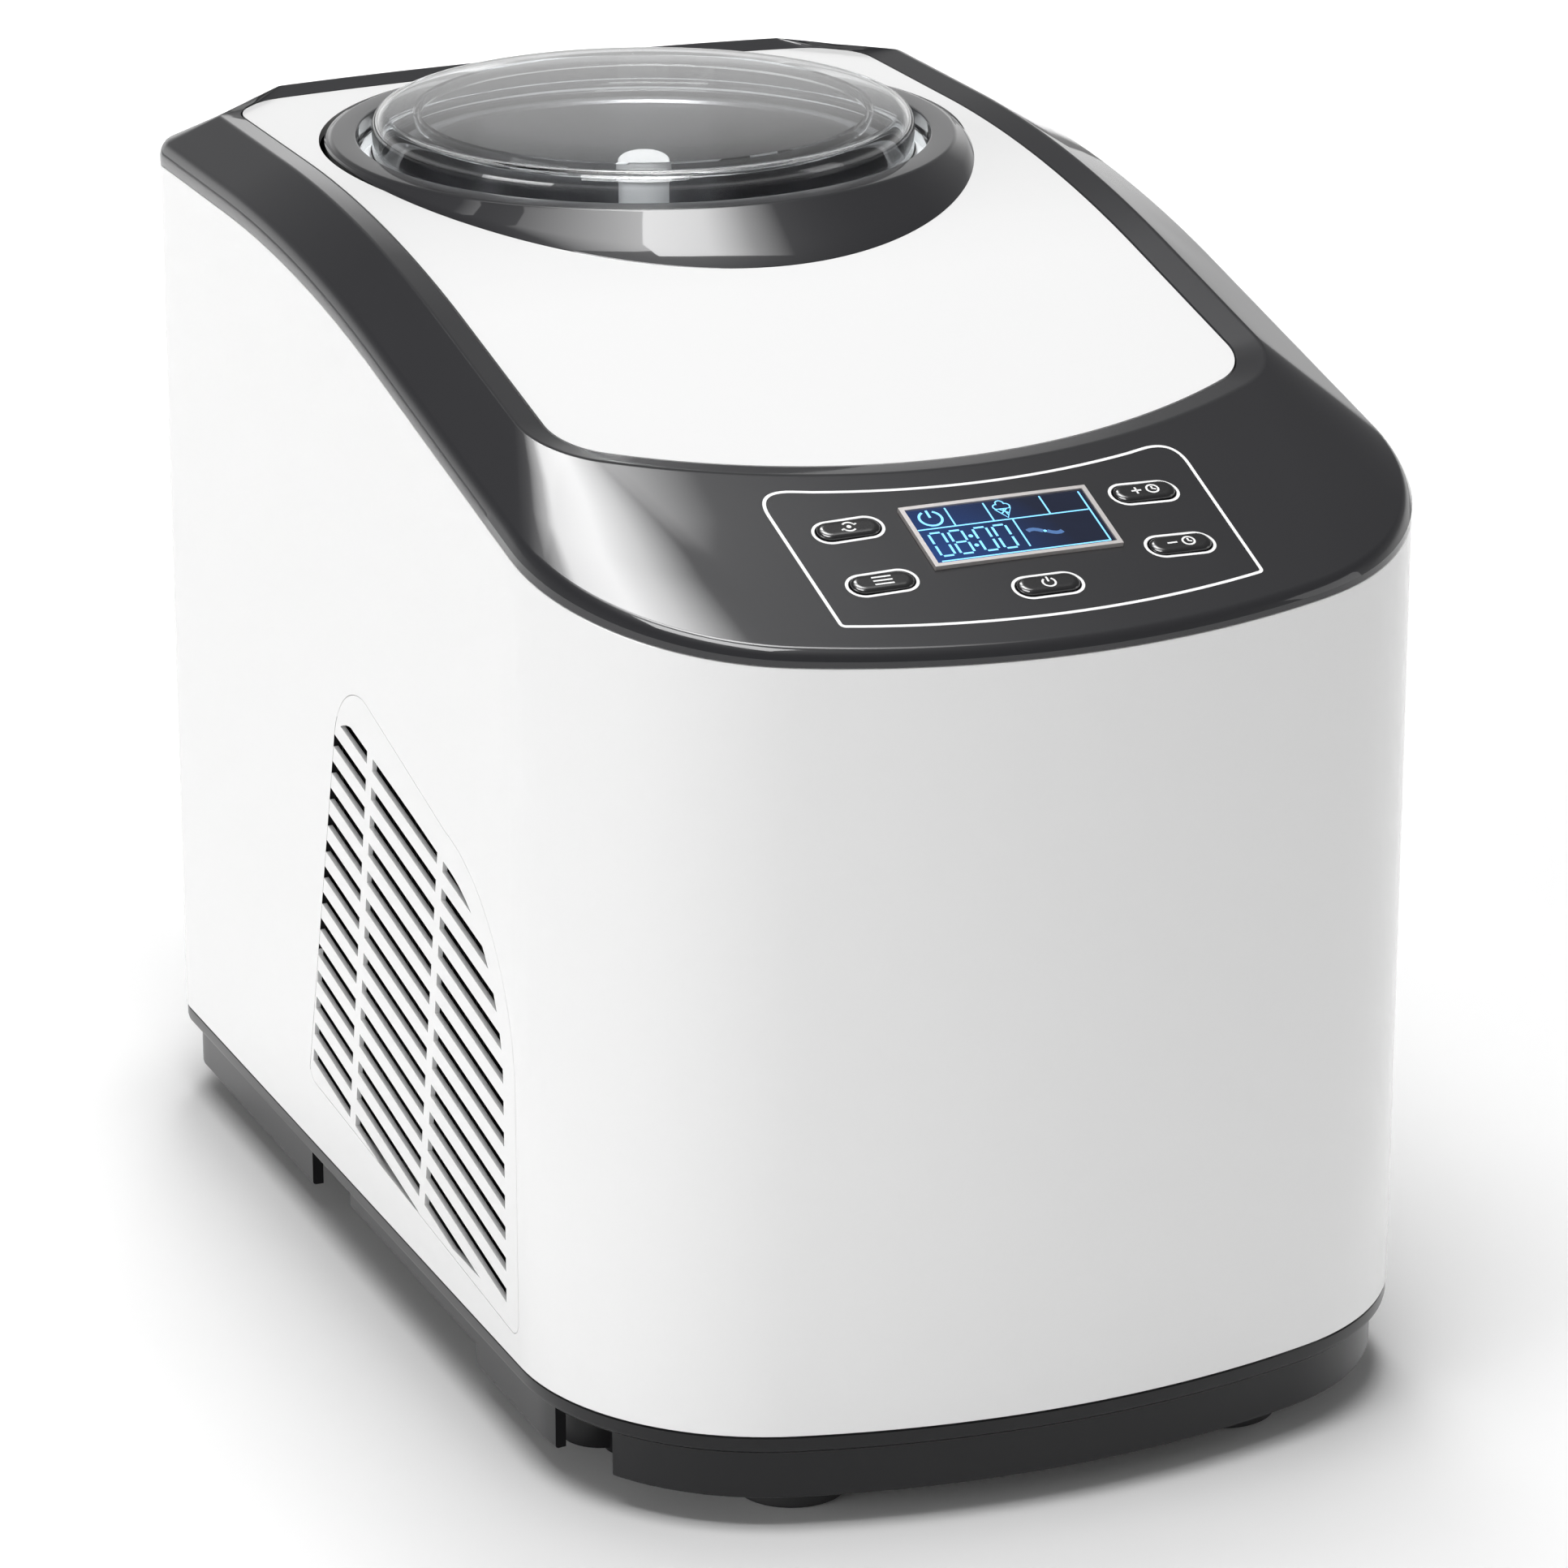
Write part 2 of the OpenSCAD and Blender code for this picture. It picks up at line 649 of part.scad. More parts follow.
module stir_motor() {
    color("#8a8d90") translate([0, bowl_y + centres, 0]) difference() {
        union() {
            translate([0, 0, motor_z[0] + 2]) cylinder(r = 27, h = motor_z[1] - motor_z[0] - 9);
            translate([0, 0, motor_z[0]]) cylinder(r = 24, h = 3);
            translate([0, 0, motor_z[1] - 7]) cylinder(r = 19, h = 7);
            for (s = [-1, 1]) translate([s * 30, 0, 58]) slab(9, 14, 0, 24);
        }
        translate([0, 0, 86]) cylinder(r = 2.6, h = 20);
    }
}

module shaft_bearing() {
    color("#a8792c") at_bowl() translate([0, 0, 111.2]) difference() {
        cylinder(r = 8.8, h = 10);
        translate([0, 0, -1]) cylinder(r = shaft_r + 0.05, h = 20);
    }
}

module shaft_seal() {
    color("#202020") at_bowl() translate([0, 0, 133.2]) difference() {
        cylinder(r = 10, h = 5.6);
        translate([0, 0, -1]) cylinder(r = shaft_r + 0.1, h = 20);
    }
}

// ---- Cooling ----
chamber_in = bowl_r + bowl_t + 0.7;
chamber_out = chamber_in + 1.6;
chamber_bottom = 136;

module cooling_chamber() {
    color("#c5c8ca") at_bowl() rotate_extrude($fn = 96)
        polygon([[10.2, chamber_bottom], [chamber_out, chamber_bottom], [chamber_out, 258],
            [collar_in - 0.4, 258], [collar_in - 0.4, 259.6], [chamber_in + 0.6, 259.6], [chamber_in, 259.6],
            [chamber_in, chamber_bottom + 2], [10.2, chamber_bottom + 2]]);
}

coil_r = 2.4;
coil_z = [150, 240];

module evaporator_coil() {
    turns = 7;
    rad = chamber_out + coil_r + 0.1;
    color("#b87333") at_bowl() {
        for (i = [0 : turns - 1]) translate([0, 0, coil_z[0] + (coil_z[1] - coil_z[0]) * i / (turns - 1)])
            rotate_extrude($fn = 96) translate([rad, 0]) circle(r = coil_r, $fn = 24);
        for (a = [0, 60]) rotate([0, 0, -90 + a]) translate([rad, 0, coil_z[0]])
            cylinder(r = coil_r - 0.4, h = coil_z[1] - coil_z[0], $fn = 24);
    }
}

coil_front_y = 13.5;              // where the tubes join the front of the coil
foam_in = chamber_out + 2 * coil_r + 0.5;
foam_out = 92;

module insulation() {
    color("#efe3b8") at_bowl() difference() {
        translate([0, 0, 121.5]) cylinder(r = foam_out, h = 249 - 121.5, $fn = 96);
        translate([0, 0, chamber_bottom - 0.2]) cylinder(r = foam_in, h = 200, $fn = 96);
        translate([0, 0, 100]) cylinder(r = 10.3, h = 60);
        translate([0, -foam_out - 4, 157]) cube([40, 2 * (foam_out - foam_in) + 14, 23], center = true);
    }
}

comp_at = [4, -92];
mount_places = [for (a = [90, 210, 330]) comp_at + 56 * [cos(a), sin(a)]];

module compressor() {
    can_r = 49;
    color("#202225") translate([comp_at[0], comp_at[1], 0]) {
        // domed can: rounded foot, weld flange and domed lid
        rotate_extrude($fn = 96) polygon(concat([[0, 36]], arc([can_r - 12, 48], 12, 270, 360, 5),
            [[can_r, 88], [can_r + 1.5, 88], [can_r + 1.5, 92], [can_r, 92]],
            arc([can_r - 30, 112], 30, 0, 90, 8), [[0, 142]]));
        difference() {
            union() {
                translate([0, 0, 33.4]) cylinder(r = 40, h = 3);
                for (a = [90, 210, 330]) rotate([0, 0, a]) translate([0, -9, 33.4]) cube([56, 18, 3]);
                for (a = [90, 210, 330]) rotate([0, 0, a]) translate([56, 0, 33.4]) cylinder(r = 9, h = 3);
            }
            for (a = [90, 210, 330]) rotate([0, 0, a]) translate([56, 0, 30]) cylinder(r = 4.2, h = 10);
        }
        translate([40, -16, 96]) cube([18, 32, 26]);
    }
}

module compressor_mounts() {
    color("#151515") for (p = mount_places) translate([p[0], p[1], floor_z + 3]) {
        cylinder(r = 8, h = 9.2);
        cylinder(r = 4, h = 13);
        translate([0, 0, 12.6]) cylinder(r = 7, h = 2.4);
        translate([0, 0, -3]) cylinder(r = 3, h = 3.5);
    }
}

fan_at = [-30, 92];               // y and z of the fan's axis
cond_x = [-107, -87];
cond_y = [-82, 22];

module condenser() {
    fins = 26;
    fin_t = 0.5;
    color("#a9adb0") {
        for (i = [0 : fins - 1])
            translate([cond_x[0], cond_y[0] + (cond_y[1] - cond_y[0] - fin_t) * i / (fins - 1), 40])
                cube([cond_x[1] - cond_x[0], fin_t, 104]);
        for (z = [50 : 14 : 134]) for (x = [-102, -92]) translate([x, cond_y[0] - 4, z]) rotate([-90, 0, 0])
            cylinder(r = 3, h = cond_y[1] - cond_y[0] + 8, $fn = 24);
    }
}

shroud_x = [-86, -66];
fan_r = 42;

module fan_shroud() {
    color("#2a2b2d") difference() {
        translate([shroud_x[0], fan_at[0] - 48, fan_at[1] - 48]) cube([shroud_x[1] - shroud_x[0], 96, 96]);
        translate([shroud_x[0] - 1, fan_at[0], fan_at[1]]) rotate([0, 90, 0]) cylinder(r = fan_r + 2, h = 16);
        for (a = [0 : 90 : 270]) translate([shroud_x[1] - 6, fan_at[0], fan_at[1]]) rotate([a, 0, 0])
            rotate([0, 90, 0]) rotate_extrude(angle = 76) translate([18, 0]) square([fan_r - 16, 10]);
    }
}

module fan_motor() {
    color("#55585b") translate([shroud_x[1] + 0.1, fan_at[0], fan_at[1]]) rotate([0, 90, 0]) {
        cylinder(r = 16, h = 13);
        translate([0, 0, 12]) cylinder(r = 9, h = 5);
    }
}

module fan_rotor() {
    blades = 7;
    color("#33363a") translate([shroud_x[0] + 1.5, fan_at[0], fan_at[1]]) rotate([0, 90, 0]) {
        cylinder(r = 14, h = 10.5);
        for (i = [0 : blades - 1]) rotate([0, 0, i * 360 / blades]) translate([12, 0, 5.2]) rotate([32, 0, 0])
            translate([0, -8, -0.7]) cube([fan_r - 13.5, 16, 1.4]);
    }
}

// A pipe through points: straight runs that reach a little past each corner
module pipe(pts, r) {
    for (i = [0 : len(pts) - 2]) {
        v = pts[i + 1] - pts[i];
        l = norm(v);
        before = i > 0 ? 0.4 * r : 0;
        after = i < len(pts) - 2 ? 0.4 * r : 0;
        translate(pts[i]) rotate([0, acos(v[2] / l), atan2(v[1], v[0])]) translate([0, 0, -before])
            cylinder(r = r, h = l + before + after, $fn = 24);
    }
}

drier_at = [84, -44];

module filter_drier() {
    color("#b87333") translate([drier_at[0], drier_at[1], 70]) {
        cylinder(r = 9, h = 46);
        translate([0, 0, 46]) cylinder(r1 = 9, r2 = 3, h = 8);
        translate([0, 0, -8]) cylinder(r1 = 3, r2 = 9, h = 8);
    }
}

module discharge_tube() {
    pipe_r = 2.4;
    out_at = [-18, -118];             // where it leaves the compressor
    in_at = [-102, cond_y[0] - 3];    // where it enters the condenser
    color("#b87333") pipe([[out_at[0], out_at[1], 135], [out_at[0], out_at[1], 150], [-70, out_at[1], 150],
        [in_at[0], -104, 134], [in_at[0], in_at[1], 134]], pipe_r);
}

module suction_tube() {
    pipe_r = 2.6;
    color("#b87333") pipe([[14, -70, 139], [14, -70, coil_z[0]], [14, -20, coil_z[0]],
        [9, coil_front_y, coil_z[0]]], pipe_r);
}

module capillary_tube() {
    pipe_r = 1.2;
    z = coil_z[0] + 15;               // second turn of the coil
    color("#b87333") pipe([[drier_at[0], drier_at[1], 123], [drier_at[0], drier_at[1], 142], [60, -26, z],
        [30, -14, z], [-8, -6, z], [-8, coil_front_y, z]], pipe_r);
}

module liquid_tube() {
    pipe_r = 1.6;
    low_z = 32;
    color("#b87333") pipe([[-92, cond_y[1] + 3, 50], [-92, 34, 50], [-60, 34, low_z], [drier_at[0], 34, low_z],
        [drier_at[0], drier_at[1], low_z], [drier_at[0], drier_at[1], 63]], pipe_r);
}

module power_board() {
    color("#2c6b45") {
        translate([96, -30, 44]) cube([1.6, 96, 70]);
        translate([80, -20, 52]) cube([16, 26, 30]);
        translate([84, 16, 52]) cube([12, 30, 14]);
        for (y = [20, 38]) translate([80, y, 92]) rotate([0, 90, 0]) cylinder(r = 7, h = 16);
    }
}

base_tray();
rubber_feet();
foot_screws();
body_shell();
left_vent_grille();
right_vent_grille();
rear_cover();
cord_gland();
cover_screws();
top_band();
top_panel();
collar();
display_bezel();
display_window();
display_module();
button_stir();
button_mode();
button_time_up();
button_time_down();
button_power();
control_board();
tact_switches();
lid();
lid_seal();
mixing_bowl();
paddle();
hub_cap();
drive_shaft();
drive_gear();
motor_pinion();
gearbox_base();
gearbox_cover();
stir_motor();
shaft_bearing();
shaft_seal();
cooling_chamber();
evaporator_coil();
insulation();
compressor();
compressor_mounts();
condenser();
fan_shroud();
fan_motor();
fan_rotor();
filter_drier();
discharge_tube();
suction_tube();
capillary_tube();
liquid_tube();
power_board();
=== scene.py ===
import math
import bpy
import bmesh
from mathutils import Matrix, Vector
from mathutils.bvhtree import BVHTree


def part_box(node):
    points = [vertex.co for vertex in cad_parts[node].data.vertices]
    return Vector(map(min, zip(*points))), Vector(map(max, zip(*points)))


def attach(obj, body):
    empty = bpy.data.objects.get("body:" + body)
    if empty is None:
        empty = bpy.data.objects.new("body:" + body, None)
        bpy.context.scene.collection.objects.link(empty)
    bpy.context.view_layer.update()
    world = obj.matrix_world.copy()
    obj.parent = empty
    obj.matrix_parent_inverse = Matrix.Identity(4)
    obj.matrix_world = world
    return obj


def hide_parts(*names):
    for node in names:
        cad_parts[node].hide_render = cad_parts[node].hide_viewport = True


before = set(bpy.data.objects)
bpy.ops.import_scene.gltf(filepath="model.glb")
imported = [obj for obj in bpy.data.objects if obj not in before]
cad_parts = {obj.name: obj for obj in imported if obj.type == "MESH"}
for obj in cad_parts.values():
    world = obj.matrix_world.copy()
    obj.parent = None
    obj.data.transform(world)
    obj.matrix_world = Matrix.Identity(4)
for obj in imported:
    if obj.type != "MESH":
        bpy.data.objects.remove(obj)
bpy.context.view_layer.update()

# Shapes below are worked out in millimetres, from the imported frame's own boxes, and made in metres.
MM = 0.001


def box_mm(node):
    lo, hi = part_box(node)
    return [v / MM for v in lo], [v / MM for v in hi]


shell_lo, shell_hi = box_mm("body_shell")
collar_hi = box_mm("collar")[1]
lid_lo, lid_hi = box_mm("lid")
bowl_lo, bowl_hi = box_mm("mixing_bowl")
tray_hi = box_mm("base_tray")[1]
cap_lo, cap_hi = box_mm("hub_cap")
cover_lo, cover_hi = box_mm("rear_cover")
HALF_W = shell_hi[0]
FRONT_Y = shell_lo[1]
REAR_Y = shell_hi[1]
SHELL_Z = shell_lo[2]
SEAM_TOP = shell_hi[2]
BOWL_Y = (lid_lo[1] + lid_hi[1]) / 2
WALL = 2.5
# Plan outline of the body: bowed front, rounded front corners, 45 degree chamfers, bowed rear
FRONT_R = 236.4
FRONT_C = FRONT_Y + FRONT_R
CORNER_R = 63.5
CHAMFER_Y = 146.5
CHAMFER_ROUND = 14
CHAMFER_TAN = math.tan(math.radians(22.5))
REAR_R = 546.0
# Side view of the seam: level at the rear, a bend, then an even slope down to the front
SLOPE = math.radians(12.5)
BEND_Y = 90.0
BEND_R = 530.0
BEND_END = BEND_Y - BEND_R * math.sin(SLOPE)
BEND_DROP = BEND_R * (1 - math.cos(SLOPE))
# Heights above the seam of the white top panel and of the band's crease
PANEL_RISE = 10.6
CREASE_RISE = 12.3


def seam(y):
    """Height of the joint between the white body and the dark band."""
    if y > BEND_Y:
        return SEAM_TOP
    if y > BEND_END:
        return SEAM_TOP - BEND_R + math.sqrt(BEND_R ** 2 - (BEND_Y - y) ** 2)
    return SEAM_TOP - BEND_DROP - (BEND_END - y) * math.tan(SLOPE)


# ---------------------------------------------------------------- outlines
def arc(c, r, a, b, n, skip=0):
    return [(c[0] + r * math.cos(math.radians(a + (b - a) * i / n)),
             c[1] + r * math.sin(math.radians(a + (b - a) * i / n))) for i in range(skip, n + 1)]


FRONT_STEPS, SIDE_STEPS, CHAMFER_STEPS, REAR_STEPS = 24, 60, 6, 16


def half_outline(hw, rf, rc, yv, rr, back, rb):
    """Right half of a plan outline, front middle to rear middle, always the same number of points.

    hw is the half width, rf and rc the front and corner radii, yv where the chamfer would start,
    rr the radius at the chamfer's ends, back and rb the rear's place and radius.
    """
    yc = FRONT_C - math.sqrt((rf - rc) ** 2 - (hw - rc) ** 2)
    at = math.degrees(math.atan2(yc - FRONT_C, hw - rc))
    t = rr * CHAMFER_TAN
    s = hw + yv - rr * math.sqrt(2) - (back - rb)
    xr = (s - math.sqrt(2 * (rb - rr) ** 2 - s * s)) / 2
    cr = (xr, s - xr + back - rb)
    ar = math.degrees(math.atan2(s - xr, xr))
    side = yv - t - yc
    pts = arc((0, FRONT_C), rf, -90, at, FRONT_STEPS)
    pts += arc((hw - rc, yc), rc, at, 0, FRONT_STEPS, 1)
    pts += [(hw, yc + side * i / SIDE_STEPS) for i in range(1, SIDE_STEPS)]
    pts += arc((hw - rr, yv - t), rr, 0, 45, CHAMFER_STEPS)
    rear_corner = arc(cr, rr, 45, ar, CHAMFER_STEPS)
    a, b = pts[-1], rear_corner[0]
    pts += [(a[0] + (b[0] - a[0]) * i / CHAMFER_STEPS, a[1] + (b[1] - a[1]) * i / CHAMFER_STEPS)
            for i in range(1, CHAMFER_STEPS)]
    pts += rear_corner
    pts += arc((0, back - rb), rb, ar, 90, REAR_STEPS, 1)
    return pts


def whole(half):
    """A right half and its mirror image as one closed outline."""
    return half + [(-x, y) for x, y in half[-2:0:-1]]


def body_outline(inset):
    return whole(half_outline(HALF_W - inset, FRONT_R - inset, CORNER_R - inset,
                              CHAMFER_Y - inset * CHAMFER_TAN, max(CHAMFER_ROUND - inset, 2),
                              REAR_Y - inset, REAR_R - inset))


# The band's crease, and the white panel's edge one ring width inside it
RING_CORNER = 26.0
CREASE_HALF = 96.8
PANEL_HALF = 89.6
RING_W = CREASE_HALF - PANEL_HALF
CREASE_R = 171.9
CREASE_ROUND = 3
PANEL_CHAMFER_Y = 147.5
PANEL_ROUND = 16
PANEL_REAR_Y = 163.8
PANEL_REAR_R = REAR_R - 22


def crease_outline():
    step = HALF_W - CREASE_HALF
    return whole(half_outline(CREASE_HALF, CREASE_R, RING_CORNER, CHAMFER_Y - step * CHAMFER_TAN, CREASE_ROUND,
                              REAR_Y - step, REAR_R - step))


def panel_outline(inset):
    return whole(half_outline(PANEL_HALF - inset, CREASE_R - RING_W - inset, RING_CORNER - RING_W - inset,
                              PANEL_CHAMFER_Y - inset * CHAMFER_TAN, PANEL_ROUND - inset, PANEL_REAR_Y - inset,
                              PANEL_REAR_R - inset))


# ---------------------------------------------------------------- mesh helpers
MERGE = 1e-7  # metres


def new_object(name, verts, faces, flat=False):
    """An object from vertices in mm, with doubled vertices merged and normals outwards."""
    me = bpy.data.meshes.new(name)
    me.from_pydata([Vector(v) * MM for v in verts], [], faces)
    bm = bmesh.new()
    bm.from_mesh(me)
    bmesh.ops.remove_doubles(bm, verts=bm.verts, dist=MERGE)
    bmesh.ops.recalc_face_normals(bm, faces=bm.faces)
    bm.to_mesh(me)
    bm.free()
    ob = bpy.data.objects.new(name, me)
    bpy.context.scene.collection.objects.link(ob)
    if not flat:
        me.shade_smooth()
    return ob


def ring_loft(name, loops, close=True, cap=False):
    """Joins loops that have the same number of points; close joins the last loop to the first."""
    m = len(loops[0])
    verts = [p for loop in loops for p in loop]
    faces = []
    last = len(loops) if close else len(loops) - 1
    for i in range(last):
        k = (i + 1) % len(loops)
        for j in range(m):
            n = (j + 1) % m
            faces.append((i * m + j, i * m + n, k * m + n, k * m + j))
    if cap:
        faces.append(tuple(range(m)))
        faces.append(tuple((len(loops) - 1) * m + j for j in range(m - 1, -1, -1)))
    return new_object(name, verts, faces)


def walls_between(name, low, high):
    """A closed solid between two outlines that have the same number of points."""
    n = len(low)
    faces = [tuple(range(n)), tuple(range(2 * n - 1, n - 1, -1))]
    faces += [(i, (i + 1) % n, n + (i + 1) % n, n + i) for i in range(n)]
    return new_object(name, low + high, faces, True)


def prism(name, pts, z0, z1, axis="Z"):
    """A closed prism of a 2-D outline; along X the outline is (y, z), along Y it is (x, z)."""
    def place(p, h):
        if axis == "X":
            return (h, p[0], p[1])
        if axis == "Y":
            return (p[0], h, p[1])
        return (p[0], p[1], h)
    return walls_between(name, [place(p, z0) for p in pts], [place(p, z1) for p in pts])


def revolve(name, profile, centre, n):
    """Turns a closed (r, z) profile round a vertical axis in n steps."""
    verts, faces = [], []
    m = len(profile)
    for i in range(n):
        a = 2 * math.pi * i / n
        verts += [(centre[0] + r * math.cos(a), centre[1] + r * math.sin(a), z) for r, z in profile]
    for i in range(n):
        k = (i + 1) % n
        for j in range(m):
            q = (j + 1) % m
            faces.append((i * m + j, k * m + j, k * m + q, i * m + q))
    ob = new_object(name, verts, faces)
    bm = bmesh.new()
    bm.from_mesh(ob.data)
    bmesh.ops.dissolve_degenerate(bm, edges=bm.edges, dist=MERGE)
    bmesh.ops.recalc_face_normals(bm, faces=bm.faces)
    bm.to_mesh(ob.data)
    bm.free()
    return ob


def boolean(ob, cutter, operation="DIFFERENCE"):
    """Applies an exact boolean and removes the cutter."""
    mod = ob.modifiers.new("cut", "BOOLEAN")
    mod.operation = operation
    mod.solver = "EXACT"
    mod.object = cutter
    bpy.context.view_layer.update()
    done = bpy.data.meshes.new_from_object(ob.evaluated_get(bpy.context.evaluated_depsgraph_get()))
    ob.modifiers.clear()
    old = ob.data
    ob.data = done
    done.name = ob.name
    bpy.data.meshes.remove(old)
    bpy.data.objects.remove(cutter)
    return ob


def joined(name, obs):
    """One mesh of several separate closed shapes, as one cutter."""
    bm = bmesh.new()
    for o in obs:
        bm.from_mesh(o.data)
        bpy.data.objects.remove(o)
    me = bpy.data.meshes.new(name)
    bm.to_mesh(me)
    bm.free()
    ob = bpy.data.objects.new(name, me)
    bpy.context.scene.collection.objects.link(ob)
    return ob


BEVEL_ANGLE = math.radians(50)
NORMAL_WEIGHT = 80


def bevel(ob, width):
    mod = ob.modifiers.new("edge", "BEVEL")
    mod.width = width * MM
    mod.segments = 2
    mod.limit_method = "ANGLE"
    mod.angle_limit = BEVEL_ANGLE
    mod.use_clamp_overlap = True
    mod.harden_normals = False


def smooth(ob, angle):
    """Smooth shading with edges sharper than the angle (in degrees) kept sharp."""
    ob.data.shade_smooth()
    ob.data.set_sharp_from_angle(angle=math.radians(angle))
    mod = ob.modifiers.new("normals", "WEIGHTED_NORMAL")
    mod.keep_sharp = True
    mod.weight = NORMAL_WEIGHT


def piece(ob, body, mat, slot, *nodes):
    """Dresses a piece and puts it on its body, in place of the named nodes."""
    ob.data.materials.clear()
    ob.data.materials.append(mat)
    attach(ob, body)
    if nodes:
        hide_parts(*nodes)
    return ob


# ---------------------------------------------------------------- materials
PLASTIC_IOR = 1.5
FINE_SHARE = 0.45  # how much of the colour variation is fine grain; the rest is broad


def add(tree, kind, values=None, **settings):
    """A new node with its settings made and its inputs filled, by name or by number."""
    new = tree.nodes.new(kind)
    for key, value in settings.items():
        setattr(new, key, value)
    for key, value in (values or {}).items():
        new.inputs[key].default_value = value
    return new


def empty_material(name):
    mat = bpy.data.materials.new(name)
    mat.use_nodes = True
    mat.node_tree.nodes.clear()
    return mat, mat.node_tree


def material(name, colour, rough, metallic=0.0, coat=0.0, coat_rough=0.03, scale=900.0, bump=0.02,
             bump_mm=0.02, vary=0.04, rough_vary=0.05, stretch=(1, 1, 1), spec=0.5, emission=0.0):
    """A procedural finish: colour variation, uneven roughness and a fine relief, all in object space."""
    mat, nt = empty_material(name)
    link = nt.links.new
    out = add(nt, "ShaderNodeOutputMaterial")
    bsdf = add(nt, "ShaderNodeBsdfPrincipled", {
        "Metallic": metallic, "Coat Weight": coat, "Coat Roughness": coat_rough,
        "Specular IOR Level": spec, "IOR": PLASTIC_IOR})
    link(bsdf.outputs[0], out.inputs[0])
    coord = add(nt, "ShaderNodeTexCoord")
    mapping = add(nt, "ShaderNodeMapping", {"Scale": stretch})
    link(coord.outputs["Object"], mapping.inputs["Vector"])
    fine = add(nt, "ShaderNodeTexNoise", {"Scale": scale, "Detail": 3.0})
    link(mapping.outputs[0], fine.inputs["Vector"])
    broad = add(nt, "ShaderNodeTexNoise", {"Scale": 9.0, "Detail": 4.0})
    link(coord.outputs["Object"], broad.inputs["Vector"])
    darker = tuple(max(0.0, c * (1 - vary)) for c in colour) + (1.0,)
    lighter = tuple(min(1.0, c * (1 + vary)) for c in colour) + (1.0,)
    shade = add(nt, "ShaderNodeMix", {"A": darker, "B": lighter}, data_type="RGBA")
    grain = add(nt, "ShaderNodeMath", {1: FINE_SHARE}, operation="MULTIPLY_ADD")
    link(fine.outputs["Fac"], grain.inputs[0])
    clouds = add(nt, "ShaderNodeMath", {1: 1 - FINE_SHARE}, operation="MULTIPLY")
    link(broad.outputs["Fac"], clouds.inputs[0])
    link(clouds.outputs[0], grain.inputs[2])
    link(grain.outputs[0], shade.inputs["Factor"])
    link(shade.outputs["Result"], bsdf.inputs["Base Color"])
    uneven = add(nt, "ShaderNodeMapRange", {
        "To Min": max(0.0, rough - rough_vary), "To Max": min(1.0, rough + rough_vary)})
    link(broad.outputs["Fac"], uneven.inputs["Value"])
    link(uneven.outputs["Result"], bsdf.inputs["Roughness"])
    if bump > 0:
        relief = add(nt, "ShaderNodeBump", {"Strength": bump, "Distance": bump_mm * MM})
        link(fine.outputs["Fac"], relief.inputs["Height"])
        link(relief.outputs[0], bsdf.inputs["Normal"])
    if emission > 0:
        link(shade.outputs["Result"], bsdf.inputs["Emission Color"])
        bsdf.inputs["Emission Strength"].default_value = emission
    return mat


WHITE = material("white_gloss", (0.82, 0.82, 0.82), 0.22, coat=0.6, coat_rough=0.06,
                 vary=0.012, rough_vary=0.03)
PANEL_WHITE = material("white_panel", (0.88, 0.88, 0.88), 0.2, coat=0.6, coat_rough=0.05,
                       vary=0.01, rough_vary=0.03)
CHARCOAL = material("charcoal_gloss", (0.022, 0.022, 0.0245), 0.32, coat=1.0, scale=1100,
                    bump=0.015, vary=0.08, spec=0.22)
BASE_DARK = material("base_dark", (0.006, 0.006, 0.007), 0.3, coat=0.3, coat_rough=0.05, bump=0.04,
                     vary=0.12, spec=0.25)
# Painted shade: a near-black colour for the white shell's inward faces, standing in for the shade inside the
# machine
INSIDE_PAINTED_SHADE = material("inside_painted_shade", (0.006, 0.006, 0.0065), 0.8, scale=1200, bump=0.2, vary=0.15, spec=0.2)
RUBBER = material("rubber_black", (0.02, 0.02, 0.021), 0.62, scale=1500, bump=0.25, bump_mm=0.05, vary=0.15)
STEEL = material("screw_steel", (0.55, 0.56, 0.57), 0.3, metallic=1.0, scale=700, bump=0.05, vary=0.06)
COVER = material("cover_white", (0.78, 0.78, 0.78), 0.5, scale=1800, bump=0.3, bump_mm=0.04, vary=0.03)
SILVER = material("silver_frame", (0.60, 0.57, 0.56), 0.32, metallic=0.55, coat=0.4, bump=0.04,
                  vary=0.05)
SCREEN = material("screen_glass", (0.005, 0.008, 0.022), 0.14, coat=0.6, coat_rough=0.02, scale=300, bump=0.0,
                  vary=0.4)


def light_from_behind(mat, at, reach, colour):
    """Adds a soft glow round a point (in metres) that fades to the idle screen's colour with distance."""
    nt = mat.node_tree
    link = nt.links.new
    bsdf = next(n for n in nt.nodes if n.type == "BSDF_PRINCIPLED")
    coord = add(nt, "ShaderNodeTexCoord")
    away = add(nt, "ShaderNodeVectorMath", {1: at}, operation="DISTANCE")
    link(coord.outputs["Object"], away.inputs[0])
    fade = add(nt, "ShaderNodeMapRange", {"From Max": reach, "To Min": 1.0, "To Max": 0.0})
    link(away.outputs["Value"], fade.inputs["Value"])
    tint = add(nt, "ShaderNodeMix", {"A": SCREEN_IDLE, "B": colour}, data_type="RGBA")
    link(fade.outputs["Result"], tint.inputs["Factor"])
    link(tint.outputs["Result"], bsdf.inputs["Emission Color"])
    bsdf.inputs["Emission Strength"].default_value = 1.0


